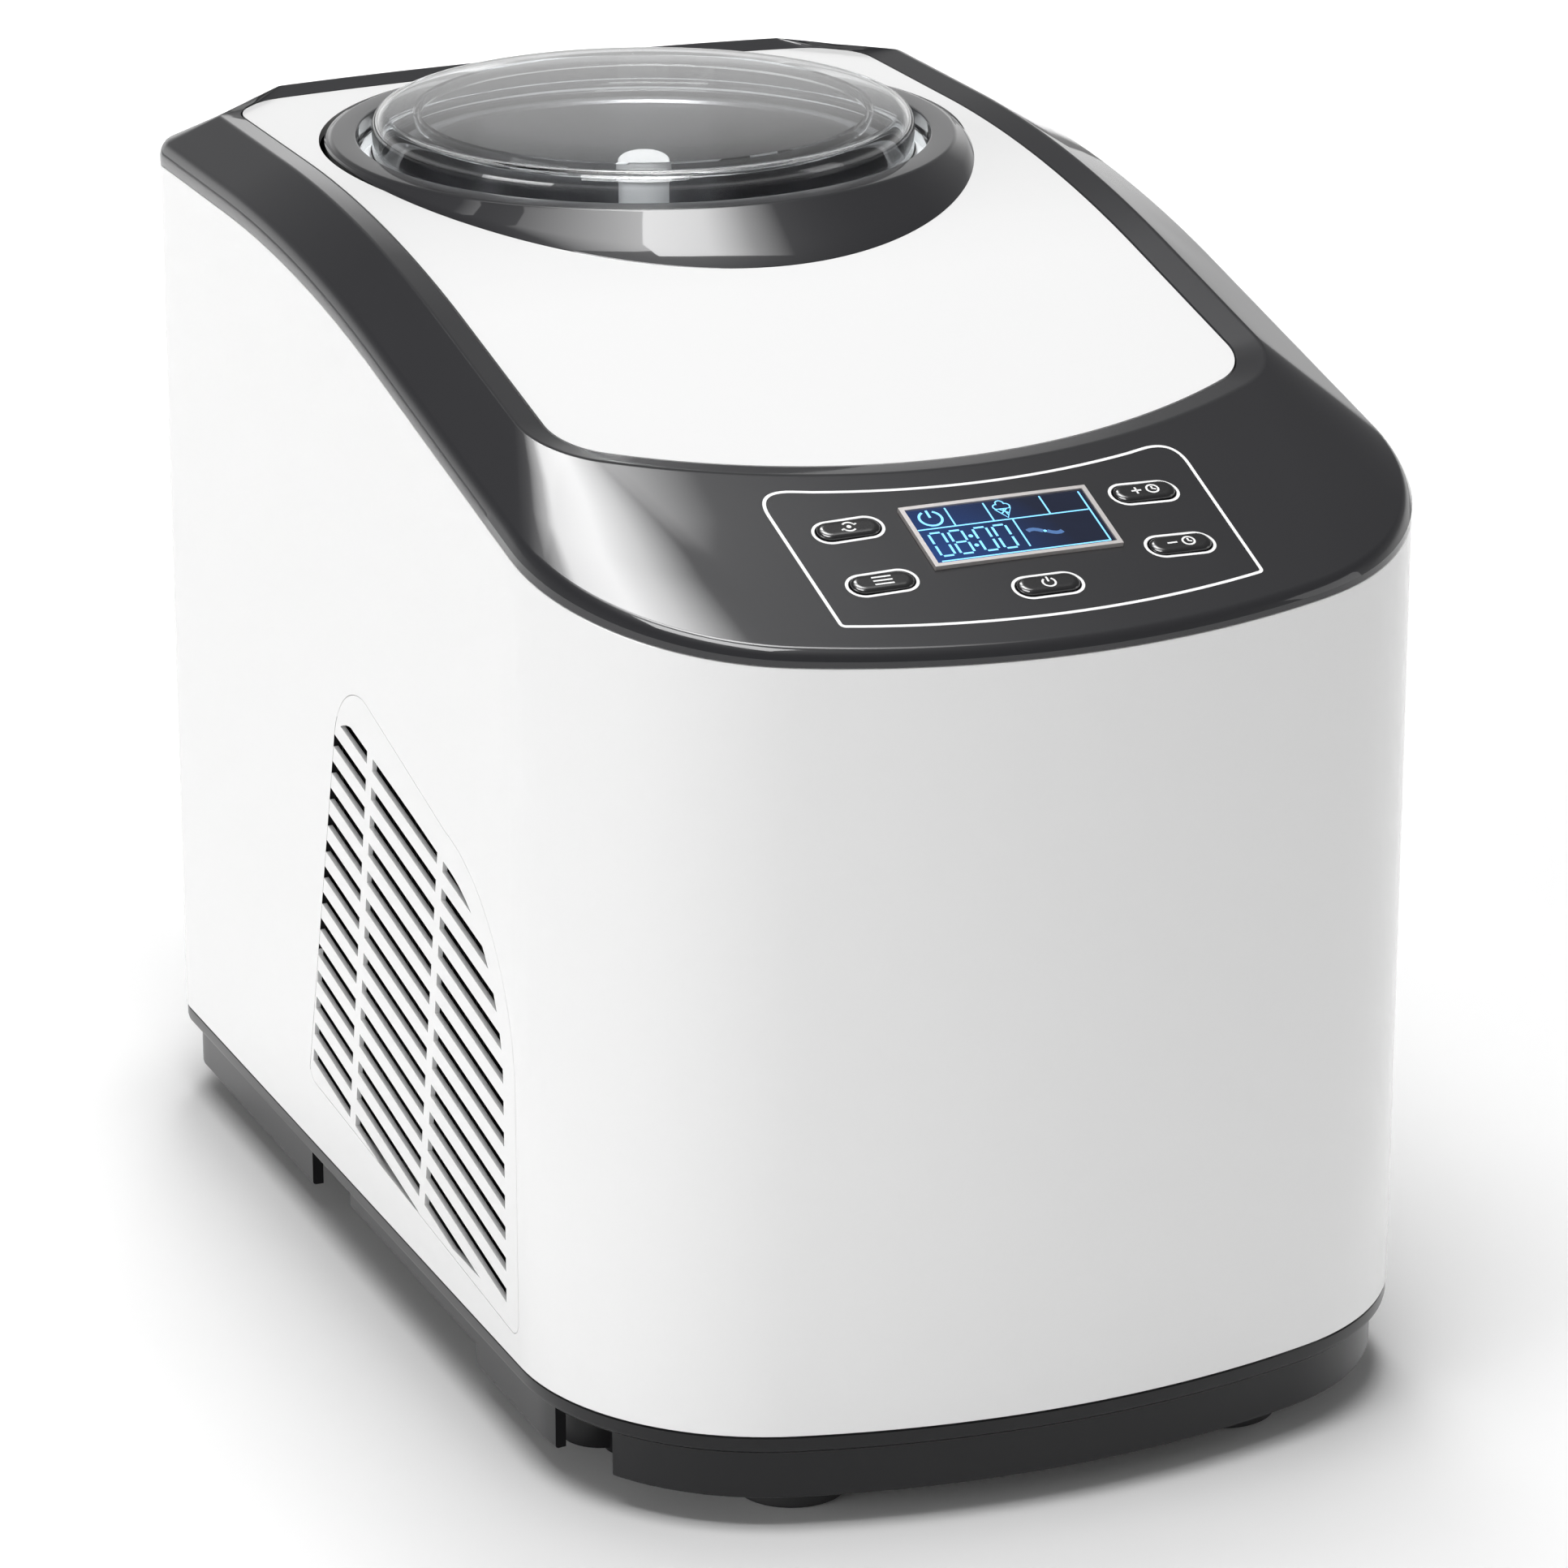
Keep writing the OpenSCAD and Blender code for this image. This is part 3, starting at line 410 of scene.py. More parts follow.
SCREEN_IDLE = (0.004, 0.006, 0.014, 1)
SCREEN_BLUE = (0.006, 0.05, 0.22, 1)
GLOW_REACH = 0.036
window_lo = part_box("display_window")[0]
light_from_behind(SCREEN, tuple(window_lo), GLOW_REACH, SCREEN_BLUE)
GLOW = material("screen_glow", (0.16, 0.50, 0.86), 0.4, bump=0.0, vary=0.05, emission=0.95)
DIM_GLOW = material("screen_dim", (0.03, 0.10, 0.26), 0.4, bump=0.0, vary=0.05, emission=0.5)
BUTTON = material("button_black", (0.014, 0.014, 0.015), 0.22, coat=1.0,
                  vary=0.1)
INK = material("white_ink", (0.9, 0.9, 0.9), 0.45, scale=2500, bump=0.1, vary=0.03)
CAP = material("cap_white", (0.93, 0.93, 0.93), 0.3, coat=0.6, vary=0.02)
BOWL = material("bowl_metal", (0.36, 0.36, 0.37), 0.24, metallic=1.0, scale=240, bump=0.08, vary=0.08,
                stretch=(1, 1, 14))
PADDLE = material("paddle_frosted", (0.80, 0.81, 0.82), 0.32, scale=700, bump=0.05)
SEAL = material("clear_seal", (0.7, 0.71, 0.72), 0.45, scale=1500, bump=0.1, vary=0.05)
SHAFT = material("shaft_steel", (0.6, 0.61, 0.62), 0.22, metallic=1.0, scale=400, bump=0.05, stretch=(1, 1, 20))
NYLON = material("gear_nylon", (0.78, 0.74, 0.62), 0.48, scale=1200, bump=0.15, vary=0.05)
BRASS = material("brass", (0.66, 0.47, 0.2), 0.28, metallic=1.0, scale=800, bump=0.05, vary=0.08)
BRONZE = material("bronze", (0.45, 0.29, 0.13), 0.42, metallic=1.0, scale=1400, bump=0.2, vary=0.12)
GEARBOX = material("gearbox_grey", (0.06, 0.063, 0.068), 0.55, scale=1300, bump=0.25, bump_mm=0.05, vary=0.1)
MOTOR = material("motor_steel", (0.4, 0.41, 0.42), 0.38, metallic=0.8, scale=600, bump=0.06, vary=0.08)
CHAMBER = material("chamber_metal", (0.55, 0.56, 0.57), 0.34, metallic=1.0, scale=260, bump=0.08, vary=0.06,
                   stretch=(1, 1, 12))
COPPER = material("copper", (0.72, 0.36, 0.2), 0.3, metallic=1.0, scale=500, bump=0.06, vary=0.14)
FOAM = material("foam", (0.80, 0.70, 0.42), 0.85, scale=450, bump=0.6, bump_mm=0.5, vary=0.14)
ENAMEL = material("compressor_black", (0.018, 0.018, 0.02), 0.35, coat=0.4, bump=0.12, bump_mm=0.05,
                  vary=0.15)
FINS = material("fin_metal", (0.003, 0.003, 0.0032), 0.7, spec=0.15, scale=700, bump=0.1, vary=0.15)
FAN = material("fan_dark", (0.012, 0.012, 0.013), 0.55, scale=1200, bump=0.2, vary=0.1)
PCB = material("board_green", (0.03, 0.17, 0.08), 0.38, coat=0.3, scale=350, bump=0.15, bump_mm=0.05, vary=0.25)
LCD_CASE = material("lcd_case", (0.62, 0.64, 0.66), 0.35, metallic=0.9, scale=800, bump=0.05, vary=0.05)


def glass_material():
    """Clear moulded plastic that bends light a little and lets lamps through to what is under it."""
    mat, nt = empty_material("clear_plastic")
    link = nt.links.new
    out = add(nt, "ShaderNodeOutputMaterial")
    solid = add(nt, "ShaderNodeBsdfPrincipled", {
        "Base Color": (0.95, 0.96, 0.965, 1), "Roughness": 0.015, "IOR": 1.12, "Transmission Weight": 1.0,
        "Coat Weight": 1.0, "Coat Roughness": 0.01, "Coat IOR": 1.5})
    coord = add(nt, "ShaderNodeTexCoord")
    noise = add(nt, "ShaderNodeTexNoise", {"Scale": 26.0})
    link(coord.outputs["Object"], noise.inputs["Vector"])
    ripple = add(nt, "ShaderNodeBump", {"Strength": 0.05, "Distance": 0.05 * MM})
    link(noise.outputs["Fac"], ripple.inputs["Height"])
    link(ripple.outputs[0], solid.inputs["Normal"])
    clear = add(nt, "ShaderNodeBsdfTransparent", {"Color": (0.94, 0.95, 0.955, 1)})
    path = add(nt, "ShaderNodeLightPath")
    mix = add(nt, "ShaderNodeMixShader")
    link(path.outputs["Is Shadow Ray"], mix.inputs[0])
    link(solid.outputs[0], mix.inputs[1])
    link(clear.outputs[0], mix.inputs[2])
    link(mix.outputs[0], out.inputs[0])
    return mat


CLEAR = glass_material()

# ---------------------------------------------------------------- white shell
LEAF_C = (-62, 95)
LEAF_GAP = 0.14
COVER_GAP = 0.2


def leaf(d):
    """Outline of a side grille in y and z, grown by d."""
    return (arc((-110, 37), 4 + d, 180, 270, 5) + arc((34, 47.5), 4 + d, 278, 350, 5)
            + arc((-9, 139.5), 22 + d, 10, 96, 16) + arc(LEAF_C, 52 + d, 97, 180, 24))


COVER_HALF = (cover_hi[0] - cover_lo[0]) / 2
COVER_Z = (cover_lo[2], cover_hi[2])


def shell_wall():
    """The white wall: outer face with softened edges, top following the seam, inner face 2.5 mm in."""
    def loop(inset, z_of):
        return [(x, y, z_of(y)) for x, y in body_outline(inset)]
    soft = 0.5
    softer = 0.15
    return ring_loft("white_shell", [
        loop(WALL, lambda y: SHELL_Z), loop(soft, lambda y: SHELL_Z),
        loop(softer, lambda y: SHELL_Z + softer), loop(0.0, lambda y: SHELL_Z + soft),
        loop(0.0, lambda y: seam(y) - soft), loop(softer, lambda y: seam(y) - softer),
        loop(soft, lambda y: seam(y)), loop(WALL, lambda y: seam(y))])


shell = shell_wall()
for s in (-1, 1):
    x0, x1 = sorted((s * (HALF_W + 2), s * (HALF_W - 4)))
    boolean(shell, prism("leaf_cut", leaf(LEAF_GAP), x0, x1, "X"))
hole = [(-COVER_HALF - COVER_GAP, COVER_Z[0] - COVER_GAP), (COVER_HALF + COVER_GAP, COVER_Z[0] - COVER_GAP),
        (COVER_HALF + COVER_GAP, COVER_Z[1] + COVER_GAP), (-COVER_HALF - COVER_GAP, COVER_Z[1] + COVER_GAP)]
boolean(shell, prism("cover_cut", hole, REAR_Y - 10, REAR_Y + 5, "Y"))
smooth(shell, 30)
piece(shell, "housing", WHITE, "white_gloss", "body_shell")


def paint_shade_inside(ob):
    """Paints shade on the faces that look inwards: though the wall is white plastic, they get a near-black
    colour that stands for the shade inside the machine.
    """
    ob.data.materials.append(INSIDE_PAINTED_SHADE)
    for f in ob.data.polygons:
        if f.normal.x * f.center.x + f.normal.y * f.center.y < 0 and abs(f.normal.z) < 0.5:
            f.material_index = 1


# painted shade on the shell's inner faces, which are white plastic
paint_shade_inside(shell)

# ---------------------------------------------------------------- grilles
GRID_TILT = math.radians(10.6)
LOUVRE_GAP = 3.6
LOUVRE_PITCH = 7.95
LOUVRES = 14
MULLIONS_AND_REAR = ((-46.2, 40.8), (4.4, 46.9), (36, 47))
HALF_MULLION = 2
MIN_SLOT_AREA = 6
GRILLE_DEPTH = 1.25
# The louvre field, in y and z; both arcs end at the angle of the line that joins them, so it is convex
JOIN_ANGLE = 101.7
APERTURE = ([(-106, 38), (37.5, 38)] + arc((-2, 131), 20.5, 10, JOIN_ANGLE, 14)
            + arc((-62.5, 95), 43.5, JOIN_ANGLE, 180, 20))


def clip(poly, window):
    """The part of poly inside a convex counter-clockwise window."""
    for i, a in enumerate(window):
        b = window[(i + 1) % len(window)]
        kept = []
        for k, p in enumerate(poly):
            q = poly[(k + 1) % len(poly)]
            side_p = (b[0] - a[0]) * (p[1] - a[1]) - (b[1] - a[1]) * (p[0] - a[0])
            side_q = (b[0] - a[0]) * (q[1] - a[1]) - (b[1] - a[1]) * (q[0] - a[0])
            if side_p >= 0:
                kept.append(p)
            if (side_p > 0 > side_q) or (side_p < 0 < side_q):
                t = side_p / (side_p - side_q)
                kept.append((p[0] + (q[0] - p[0]) * t, p[1] + (q[1] - p[1]) * t))
        poly = kept
        if not poly:
            return []
    return poly


def turned(p, a, at):
    """From the tilted grid's own frame, with its origin at the given point."""
    return (at[0] + p[0] * math.cos(a) - p[1] * math.sin(a), at[1] + p[0] * math.sin(a) + p[1] * math.cos(a))


def unturned(p, a, at):
    """Into the tilted grid's own frame."""
    dx, dy = p[0] - at[0], p[1] - at[1]
    return (dx * math.cos(a) + dy * math.sin(a), -dx * math.sin(a) + dy * math.cos(a))


def polygon_area(poly):
    ends = poly[1:] + poly[:1]
    return 0.5 * abs(sum(p[0] * q[1] - q[0] * p[1] for p, q in zip(poly, ends)))


def louvre_slots():
    """Slots of the tilted grid: three columns between the mullions, clipped by the aperture."""
    at = (0, 151.5)
    marks = [unturned(p, GRID_TILT, at)[0] for p in MULLIONS_AND_REAR]
    columns = [(-150, marks[0] - HALF_MULLION), (marks[0] + HALF_MULLION, marks[1] - HALF_MULLION),
               (marks[1] + HALF_MULLION, marks[2])]
    slots = []
    for k in range(LOUVRES):
        top = -k * LOUVRE_PITCH
        for u0, u1 in columns:
            quad = [(u0, top - LOUVRE_GAP), (u1, top - LOUVRE_GAP), (u1, top), (u0, top)]
            poly = clip([turned(p, GRID_TILT, at) for p in quad], APERTURE)
            if polygon_area(poly) > MIN_SLOT_AREA:
                slots.append(poly)
    return slots


SLOTS = louvre_slots()


def grille(name, s, node):
    lo, hi = sorted((s * HALF_W, s * (HALF_W - GRILLE_DEPTH)))
    plate = prism(name, leaf(0), lo, hi, "X")
    cutters = [prism("slot", poly, lo - 3, hi + 3, "X") for poly in SLOTS]
    boolean(plate, joined("slots", cutters))
    bevel(plate, 0.3)
    smooth(plate, 40)
    piece(plate, "housing", WHITE, "white_gloss", node)


grille("left_grille", -1, "left_vent_grille")
grille("right_grille", 1, "right_vent_grille")

# ---------------------------------------------------------------- rear cover
rear = ring_loft("rear_panel", [
    [(x, y, z) for x, y in body_outline(inset)] for inset, z in
    ((WALL, COVER_Z[0]), (0, COVER_Z[0]), (0, COVER_Z[1]), (WALL, COVER_Z[1]))])
keep = [(-COVER_HALF, REAR_Y - 20), (COVER_HALF, REAR_Y - 20),
        (COVER_HALF, REAR_Y + 5), (-COVER_HALF, REAR_Y + 5)]
boolean(rear, prism("keep", keep, COVER_Z[0] - 1, COVER_Z[1] + 1), "INTERSECT")
gland_lo, gland_hi = box_mm("cord_gland")
gland_at = ((gland_lo[0] + gland_hi[0]) / 2, (gland_lo[2] + gland_hi[2]) / 2)
screw_lo, screw_hi = box_mm("cover_screws")
SCREW_HEAD = 3.2
VENT_ROWS, VENT_Z, VENT_PITCH = 15, 80, 9
VENT_X, VENT_HALF, VENT_R = 22, 16, 2
cuts = []
for i in range(VENT_ROWS):
    z = VENT_Z + VENT_PITCH * i
    for s in (-1, 1):
        left, right = s * VENT_X - VENT_HALF, s * VENT_X + VENT_HALF
        vent = [(left, z), (right, z)] + arc((right, z + VENT_R), VENT_R, -90, 90, 8, 1)
        vent += arc((left, z + VENT_R), VENT_R, 90, 269, 8)
        cuts.append(prism("vent", vent, REAR_Y - 12, REAR_Y + 5, "Y"))
cuts.append(prism("gland", arc(gland_at, 6.2, 0, 354, 60), REAR_Y - 12, REAR_Y + 5, "Y"))
for x in (screw_lo[0] + SCREW_HEAD, screw_hi[0] - SCREW_HEAD):
    for z in (screw_lo[2] + SCREW_HEAD, screw_hi[2] - SCREW_HEAD):
        cuts.append(prism("screw", arc((x, z), 1.6, 0, 345, 24), REAR_Y - 12, REAR_Y + 5, "Y"))
boolean(rear, joined("rear_cuts", cuts))
boolean(rear, prism("seat", arc(gland_at, 8.8, 0, 354, 60), gland_lo[1] + 12, REAR_Y + 5, "Y"))
bevel(rear, 0.35)
smooth(rear, 35)
piece(rear, "housing", COVER, "cover_white", "rear_cover")

# ---------------------------------------------------------------- dark top band
EDGE_H = 6.1
EDGE_IN = 2.6
LIP_H = 3.6
LIP_END_Y = -115
UNDER_GAP = 0.15


def strip_h(y):
    """Height of the band's upright edge, lower towards the front lip."""
    if y > LIP_END_Y:
        return EDGE_H
    t = (y - FRONT_Y) / (LIP_END_Y - FRONT_Y)
    return LIP_H + (EDGE_H - LIP_H) * t


def band_station_loops():
    """Loops round the band, from its foot up over the crease and back underneath."""
    stations = []
    for o, q, c, p in zip(body_outline(0), body_outline(EDGE_IN), crease_outline(), panel_outline(0)):
        so, sq = seam(o[1]), seam(q[1])
        h = strip_h(o[1])
        a = Vector((o[0], o[1], so + 0.42 * h))
        b = Vector((q[0], q[1], sq + h))
        crease = Vector((c[0], c[1], seam(c[1]) + CREASE_RISE))
        # the rounded outer edge: a curve from the upright strip into the slope
        control = Vector((o[0] * 0.998, o[1] * 0.998, so + h * 0.93))
        run = (crease - b).normalized()
        ctl = b - run * 1.2
        ctl = (ctl + control) * 0.5
        pts = [Vector((o[0], o[1], so + UNDER_GAP)), Vector((o[0], o[1], so + 0.4))]
        for k in range(5):
            t = k / 4
            pts.append(a * (1 - t) ** 2 + ctl * 2 * t * (1 - t) + b * t ** 2)
        pts += [b.lerp(crease, 0.35), b.lerp(crease, 0.7)]
        back = (b - crease).normalized()
        top = Vector((p[0], p[1], seam(p[1]) + PANEL_RISE))
        fore = (top - crease).normalized()
        pts += [crease + back * 0.9, crease + (back + fore) * 0.22, crease + fore * 0.9, top - fore * 0.3]
        pts += [Vector((top.x, top.y, top.z - 0.3)), Vector((top.x, top.y, top.z - 5))]
        pts += [Vector((crease.x, crease.y, crease.z - 2.8)), Vector((q[0], q[1], sq + UNDER_GAP))]
        stations.append([tuple(v) for v in pts])
    return list(zip(*stations))


band = ring_loft("top_band_moulding", band_station_loops())
bpy.context.view_layer.update()
band_tree = BVHTree.FromObject(band, bpy.context.evaluated_depsgraph_get())


def on_band(x, y):
    """The point of the band's top surface over (x, y), in mm, and the surface's normal."""
    hit, normal, _, _ = band_tree.ray_cast(Vector((x, y, 400)) * MM, Vector((0, 0, -1)))
    if normal.z < 0:
        normal = -normal
    return hit / MM, normal


panel_y0 = FRONT_C - CREASE_R
panel_z0 = seam(panel_y0) + CREASE_RISE
PANEL_A = math.atan((panel_z0 - seam(FRONT_Y) - 3.3) / (panel_y0 - FRONT_Y))
PANEL_ROT = Matrix.Rotation(PANEL_A, 4, "X")


def droop(x):
    """How far the control panel falls below its middle line at x."""
    return (math.tan(PANEL_A) - math.tan(SLOPE)) * (CREASE_R - math.sqrt(CREASE_R ** 2 - x * x))


def plane_at(x, y):
    """Matrix in mm of the control plane's frame at (x, y)."""
    z = panel_z0 + (y - panel_y0) * math.tan(PANEL_A) - droop(x)
    return Matrix.Translation((x, y, z)) @ PANEL_ROT


BUTTONS = {
    "button_stir": (-37.7, -138, "stir_button"),
    "button_time_up": (37.7, -138, "time_up_button"),
    "button_mode": (-37.7, -157.6, "mode_button"),
    "button_time_down": (37.7, -157.6, "time_down_button"),
    "button_power": (0, -166.2, "power_button")}
BUTTON_L, BUTTON_W, BUTTON_TOP = 15.6, 6.4, 1.0


def pill(l, w, n=14):
    e = (l - w) / 2
    return arc((e, 0), w / 2, -90, 90, n) + arc((-e, 0), w / 2, 90, 270, n)


def placed(pts, z, m):
    """A flat outline moved to height z of the frame m."""
    return [m @ Vector((p[0], p[1], z)) for p in pts]


def rect(w, h):
    return [(-w / 2, -h / 2), (w / 2, -h / 2), (w / 2, h / 2), (-w / 2, h / 2)]


DISPLAY_Y, DISPLAY_W, DISPLAY_H = -145.2, 47.6, 23.1
disp = plane_at(0, DISPLAY_Y)
HOLE_GAP = 0.5
holes = []
for x, y, _ in BUTTONS.values():
    m = plane_at(x, y)
    hole = pill(BUTTON_L + HOLE_GAP, BUTTON_W + HOLE_GAP)
    holes.append(walls_between("hole", placed(hole, -9, m), placed(hole, 6, m)))
hole = rect(DISPLAY_W + 0.2, DISPLAY_H + 0.2)
holes.append(walls_between("hole", placed(hole, -14, disp), placed(hole, 6, disp)))
boolean(band, joined("panel_holes", holes))
smooth(band, 24)
piece(band, "housing", CHARCOAL, "charcoal_gloss", "top_band")

# ---------------------------------------------------------------- white top panel
PANEL_T = 2.4
PLATE_HALF = 95
PANEL_HOLE_R = 84
PANEL_STEPS = 120
ys = [(-116 + 282 * i / PANEL_STEPS) for i in range(PANEL_STEPS + 1)]
verts, faces = [], []
for rise in (PANEL_RISE, PANEL_RISE - PANEL_T):
    for y in ys:
        verts += [(-PLATE_HALF, y, seam(y) + rise), (PLATE_HALF, y, seam(y) + rise)]
n = len(ys)
for i in range(n - 1):
    a = 2 * i
    b = 2 * n + a
    faces += [(a, a + 1, a + 3, a + 2), (b, b + 2, b + 3, b + 1), (a, a + 2, b + 2, b),
              (a + 1, b + 1, b + 3, a + 3)]
faces.append((0, 2 * n, 2 * n + 1, 1))
faces.append((2 * n - 2, 2 * n - 1, 4 * n - 1, 4 * n - 2))
panel = new_object("top_panel_plate", verts, faces)
boolean(panel, prism("panel_edge", panel_outline(0.35), 200, 290), "INTERSECT")
boolean(panel, prism("panel_hole", arc((0, BOWL_Y), PANEL_HOLE_R, 0, 357.5, 143), 200, 290))
bevel(panel, 0.35)
smooth(panel, 30)
piece(panel, "housing", PANEL_WHITE, "white_gloss", "top_panel")

# ---------------------------------------------------------------- collar
COLLAR_Z = collar_hi[2]
COLLAR_R = 80.9
COLLAR_FOOT_R = 83.6
COLLAR_LOW_Z = 252.2
COLLAR_STEPS = 240
EDGE_DROP = 0.42
GROOVE_R = 74.4
COLLAR_IN = 70.4
LEDGE_Z = lid_lo[2] - 1.2
FLARE = 1.5
REAR_LIMIT = 163.65


def cone_z(r):
    """Height of the collar's outer cone at radius r."""
    return COLLAR_Z - (r - COLLAR_R) / FLARE


def cone_foot(sine):
    """Radius where the cone meets the top panel, found by halving, in the direction with this sine."""
    near, far = COLLAR_R, COLLAR_R + 30
    for _ in range(40):
        mid = (near + far) / 2
        if cone_z(mid) > seam(BOWL_Y + mid * sine) + PANEL_RISE:
            near = mid
        else:
            far = mid
    return near


def collar_mesh():
    verts, faces = [], []
    start_r, start_z = COLLAR_R + 0.55, COLLAR_Z - EDGE_DROP
    for i in range(COLLAR_STEPS):
        a = 2 * math.pi * i / COLLAR_STEPS
        ca, sa = math.cos(a), math.sin(a)
        foot_r = cone_foot(sa)
        foot_z = cone_z(foot_r)
        prof = [(COLLAR_IN, COLLAR_LOW_Z), (COLLAR_IN, LEDGE_Z - 0.4), (COLLAR_IN + 0.4, LEDGE_Z),
                (GROOVE_R - 0.1, LEDGE_Z), (GROOVE_R, LEDGE_Z + 0.1), (GROOVE_R, COLLAR_Z - 0.5),
                (GROOVE_R + 0.15, COLLAR_Z - 0.15), (GROOVE_R + 0.5, COLLAR_Z), (COLLAR_R - 0.5, COLLAR_Z),
                (COLLAR_R + 0.1, COLLAR_Z - 0.12), (start_r, start_z)]
        for k in range(1, 6):
            t = k / 6
            prof.append((start_r + (foot_r - COLLAR_R - 0.95) * t,
                         start_z + (foot_z + 0.55 - COLLAR_Z + EDGE_DROP) * t))
        prof += [(foot_r - 0.4, foot_z + 0.35), (foot_r - 0.1, foot_z + 0.05), (foot_r - 0.25, foot_z - 0.2),
                 (COLLAR_FOOT_R, COLLAR_LOW_Z)]
        verts += [(r * ca, min(BOWL_Y + r * sa, REAR_LIMIT), z) for r, z in prof]
    m = len(verts) // COLLAR_STEPS
    for i in range(COLLAR_STEPS):
        k = (i + 1) % COLLAR_STEPS
        for j in range(m):
            q = (j + 1) % m
            faces.append((i * m + j, k * m + j, k * m + q, i * m + q))
    return new_object("collar_ring", verts, faces)


collar = collar_mesh()
smooth(collar, 28)
piece(collar, "housing", CHARCOAL, "charcoal_gloss", "collar")

# ---------------------------------------------------------------- clear lid
LID_R = 70.3
LID_TOP = lid_hi[2]
FLANGE_Z = lid_lo[2]
LID_T = 1.8


def lid_profile():
    """A crowned top with one rib inside, a shoulder, an upright wall and a flange that sits in the groove."""
    shoulder = 4.6
    crown = 1.2
    wall_top = LID_TOP - crown - shoulder
    rib_top = LID_TOP - LID_T - 0.8
    out = [(GROOVE_R - 0.5, FLANGE_Z + 0.3), (GROOVE_R - 0.7, FLANGE_Z + 1.6), (LID_R + 0.3, FLANGE_Z + 1.7),
           (LID_R, FLANGE_Z + 2.0), (LID_R, wall_top)]
    out += arc((LID_R - shoulder, wall_top), shoulder, 0, 84, 14, 1)
    out += [(58, LID_TOP - 0.62), (45, LID_TOP - 0.34), (30, LID_TOP - 0.14), (15, LID_TOP - 0.03),
            (0.0, LID_TOP)]
    inn = [(0.0, LID_TOP - LID_T), (15, LID_TOP - LID_T - 0.03), (30, LID_TOP - LID_T - 0.14),
           (45, LID_TOP - LID_T - 0.34), (57.9, rib_top + 0.1), (58, rib_top - 2.5),
           (58.3, rib_top - 2.8), (59.1, rib_top - 2.8),
           (59.4, rib_top - 2.5), (59.5, rib_top + 0.1)]
    inn += arc((LID_R - shoulder, wall_top), shoulder - LID_T, 84, 0, 14)
    inn += [(LID_R - LID_T, FLANGE_Z + 0.1), (LID_R - LID_T + 0.3, FLANGE_Z), (GROOVE_R - 0.8, FLANGE_Z)]
    return out + inn


lid = revolve("clear_lid", lid_profile(), (0, BOWL_Y), 192)
smooth(lid, 28)
piece(lid, "lid", CLEAR, "clear_lid", "lid")

# ---------------------------------------------------------------- bowl
BOWL_R = 63.5
BOWL_FLOOR_R = 9.0
POST_IN, POST_OUT, POST_TOP = 6.0, 7.0, 168


def bowl_profile():
    """A deep pan with a rolled rim and a hollow post in the middle for the drive shaft."""
    zb, zt = bowl_lo[2], bowl_hi[2]
    fr = BOWL_FLOOR_R
    corner = (BOWL_R + 1 - fr, zb + fr)
    out = [(POST_IN, zb), (corner[0], zb)] + arc(corner, fr, 270, 360, 10, 1)
    out += [(BOWL_R + 1, zt - 1.4), (BOWL_R + 1.3, zt - 1.0), (BOWL_R + 4.9, zt - 1.0),
            (BOWL_R + 5.2, zt - 0.7), (BOWL_R + 5.1, zt - 0.1), (BOWL_R + 4.7, zt), (BOWL_R + 0.7, zt),
            (BOWL_R, zt - 0.7)]
    out += [(BOWL_R, zb + fr)] + arc(corner, fr - 1, 360, 270, 10, 1)
    out += [(POST_OUT, zb + 1), (POST_OUT, POST_TOP - 0.4), (6.6, POST_TOP), (POST_IN, POST_TOP)]
    return out


bowl = revolve("bowl_shell", bowl_profile(), (0, BOWL_Y), 160)
smooth(bowl, 35)
piece(bowl, "bowl", BOWL, "bowl_metal", "mixing_bowl")

# ---------------------------------------------------------------- hub cap
hub_profile = [(0, cap_lo[2]), (7.0, cap_lo[2]), (7.2, cap_lo[2] + 0.2)]
hub_profile += arc((5.6, cap_hi[2] - 1.6), 1.6, 0, 80, 8) + [(3.5, cap_hi[2]), (0, cap_hi[2])]
hub = revolve("hub_button", hub_profile, (0, BOWL_Y), 64)
smooth(hub, 35)
piece(hub, "mixer", CAP, "cap_white", "hub_cap")

# ---------------------------------------------------------------- base
FLOOR_Z = 21.0
SKIRT_Z = 8.0
FEET = ((-57, -150), (57, -150), (-62, 138), (62, 138))


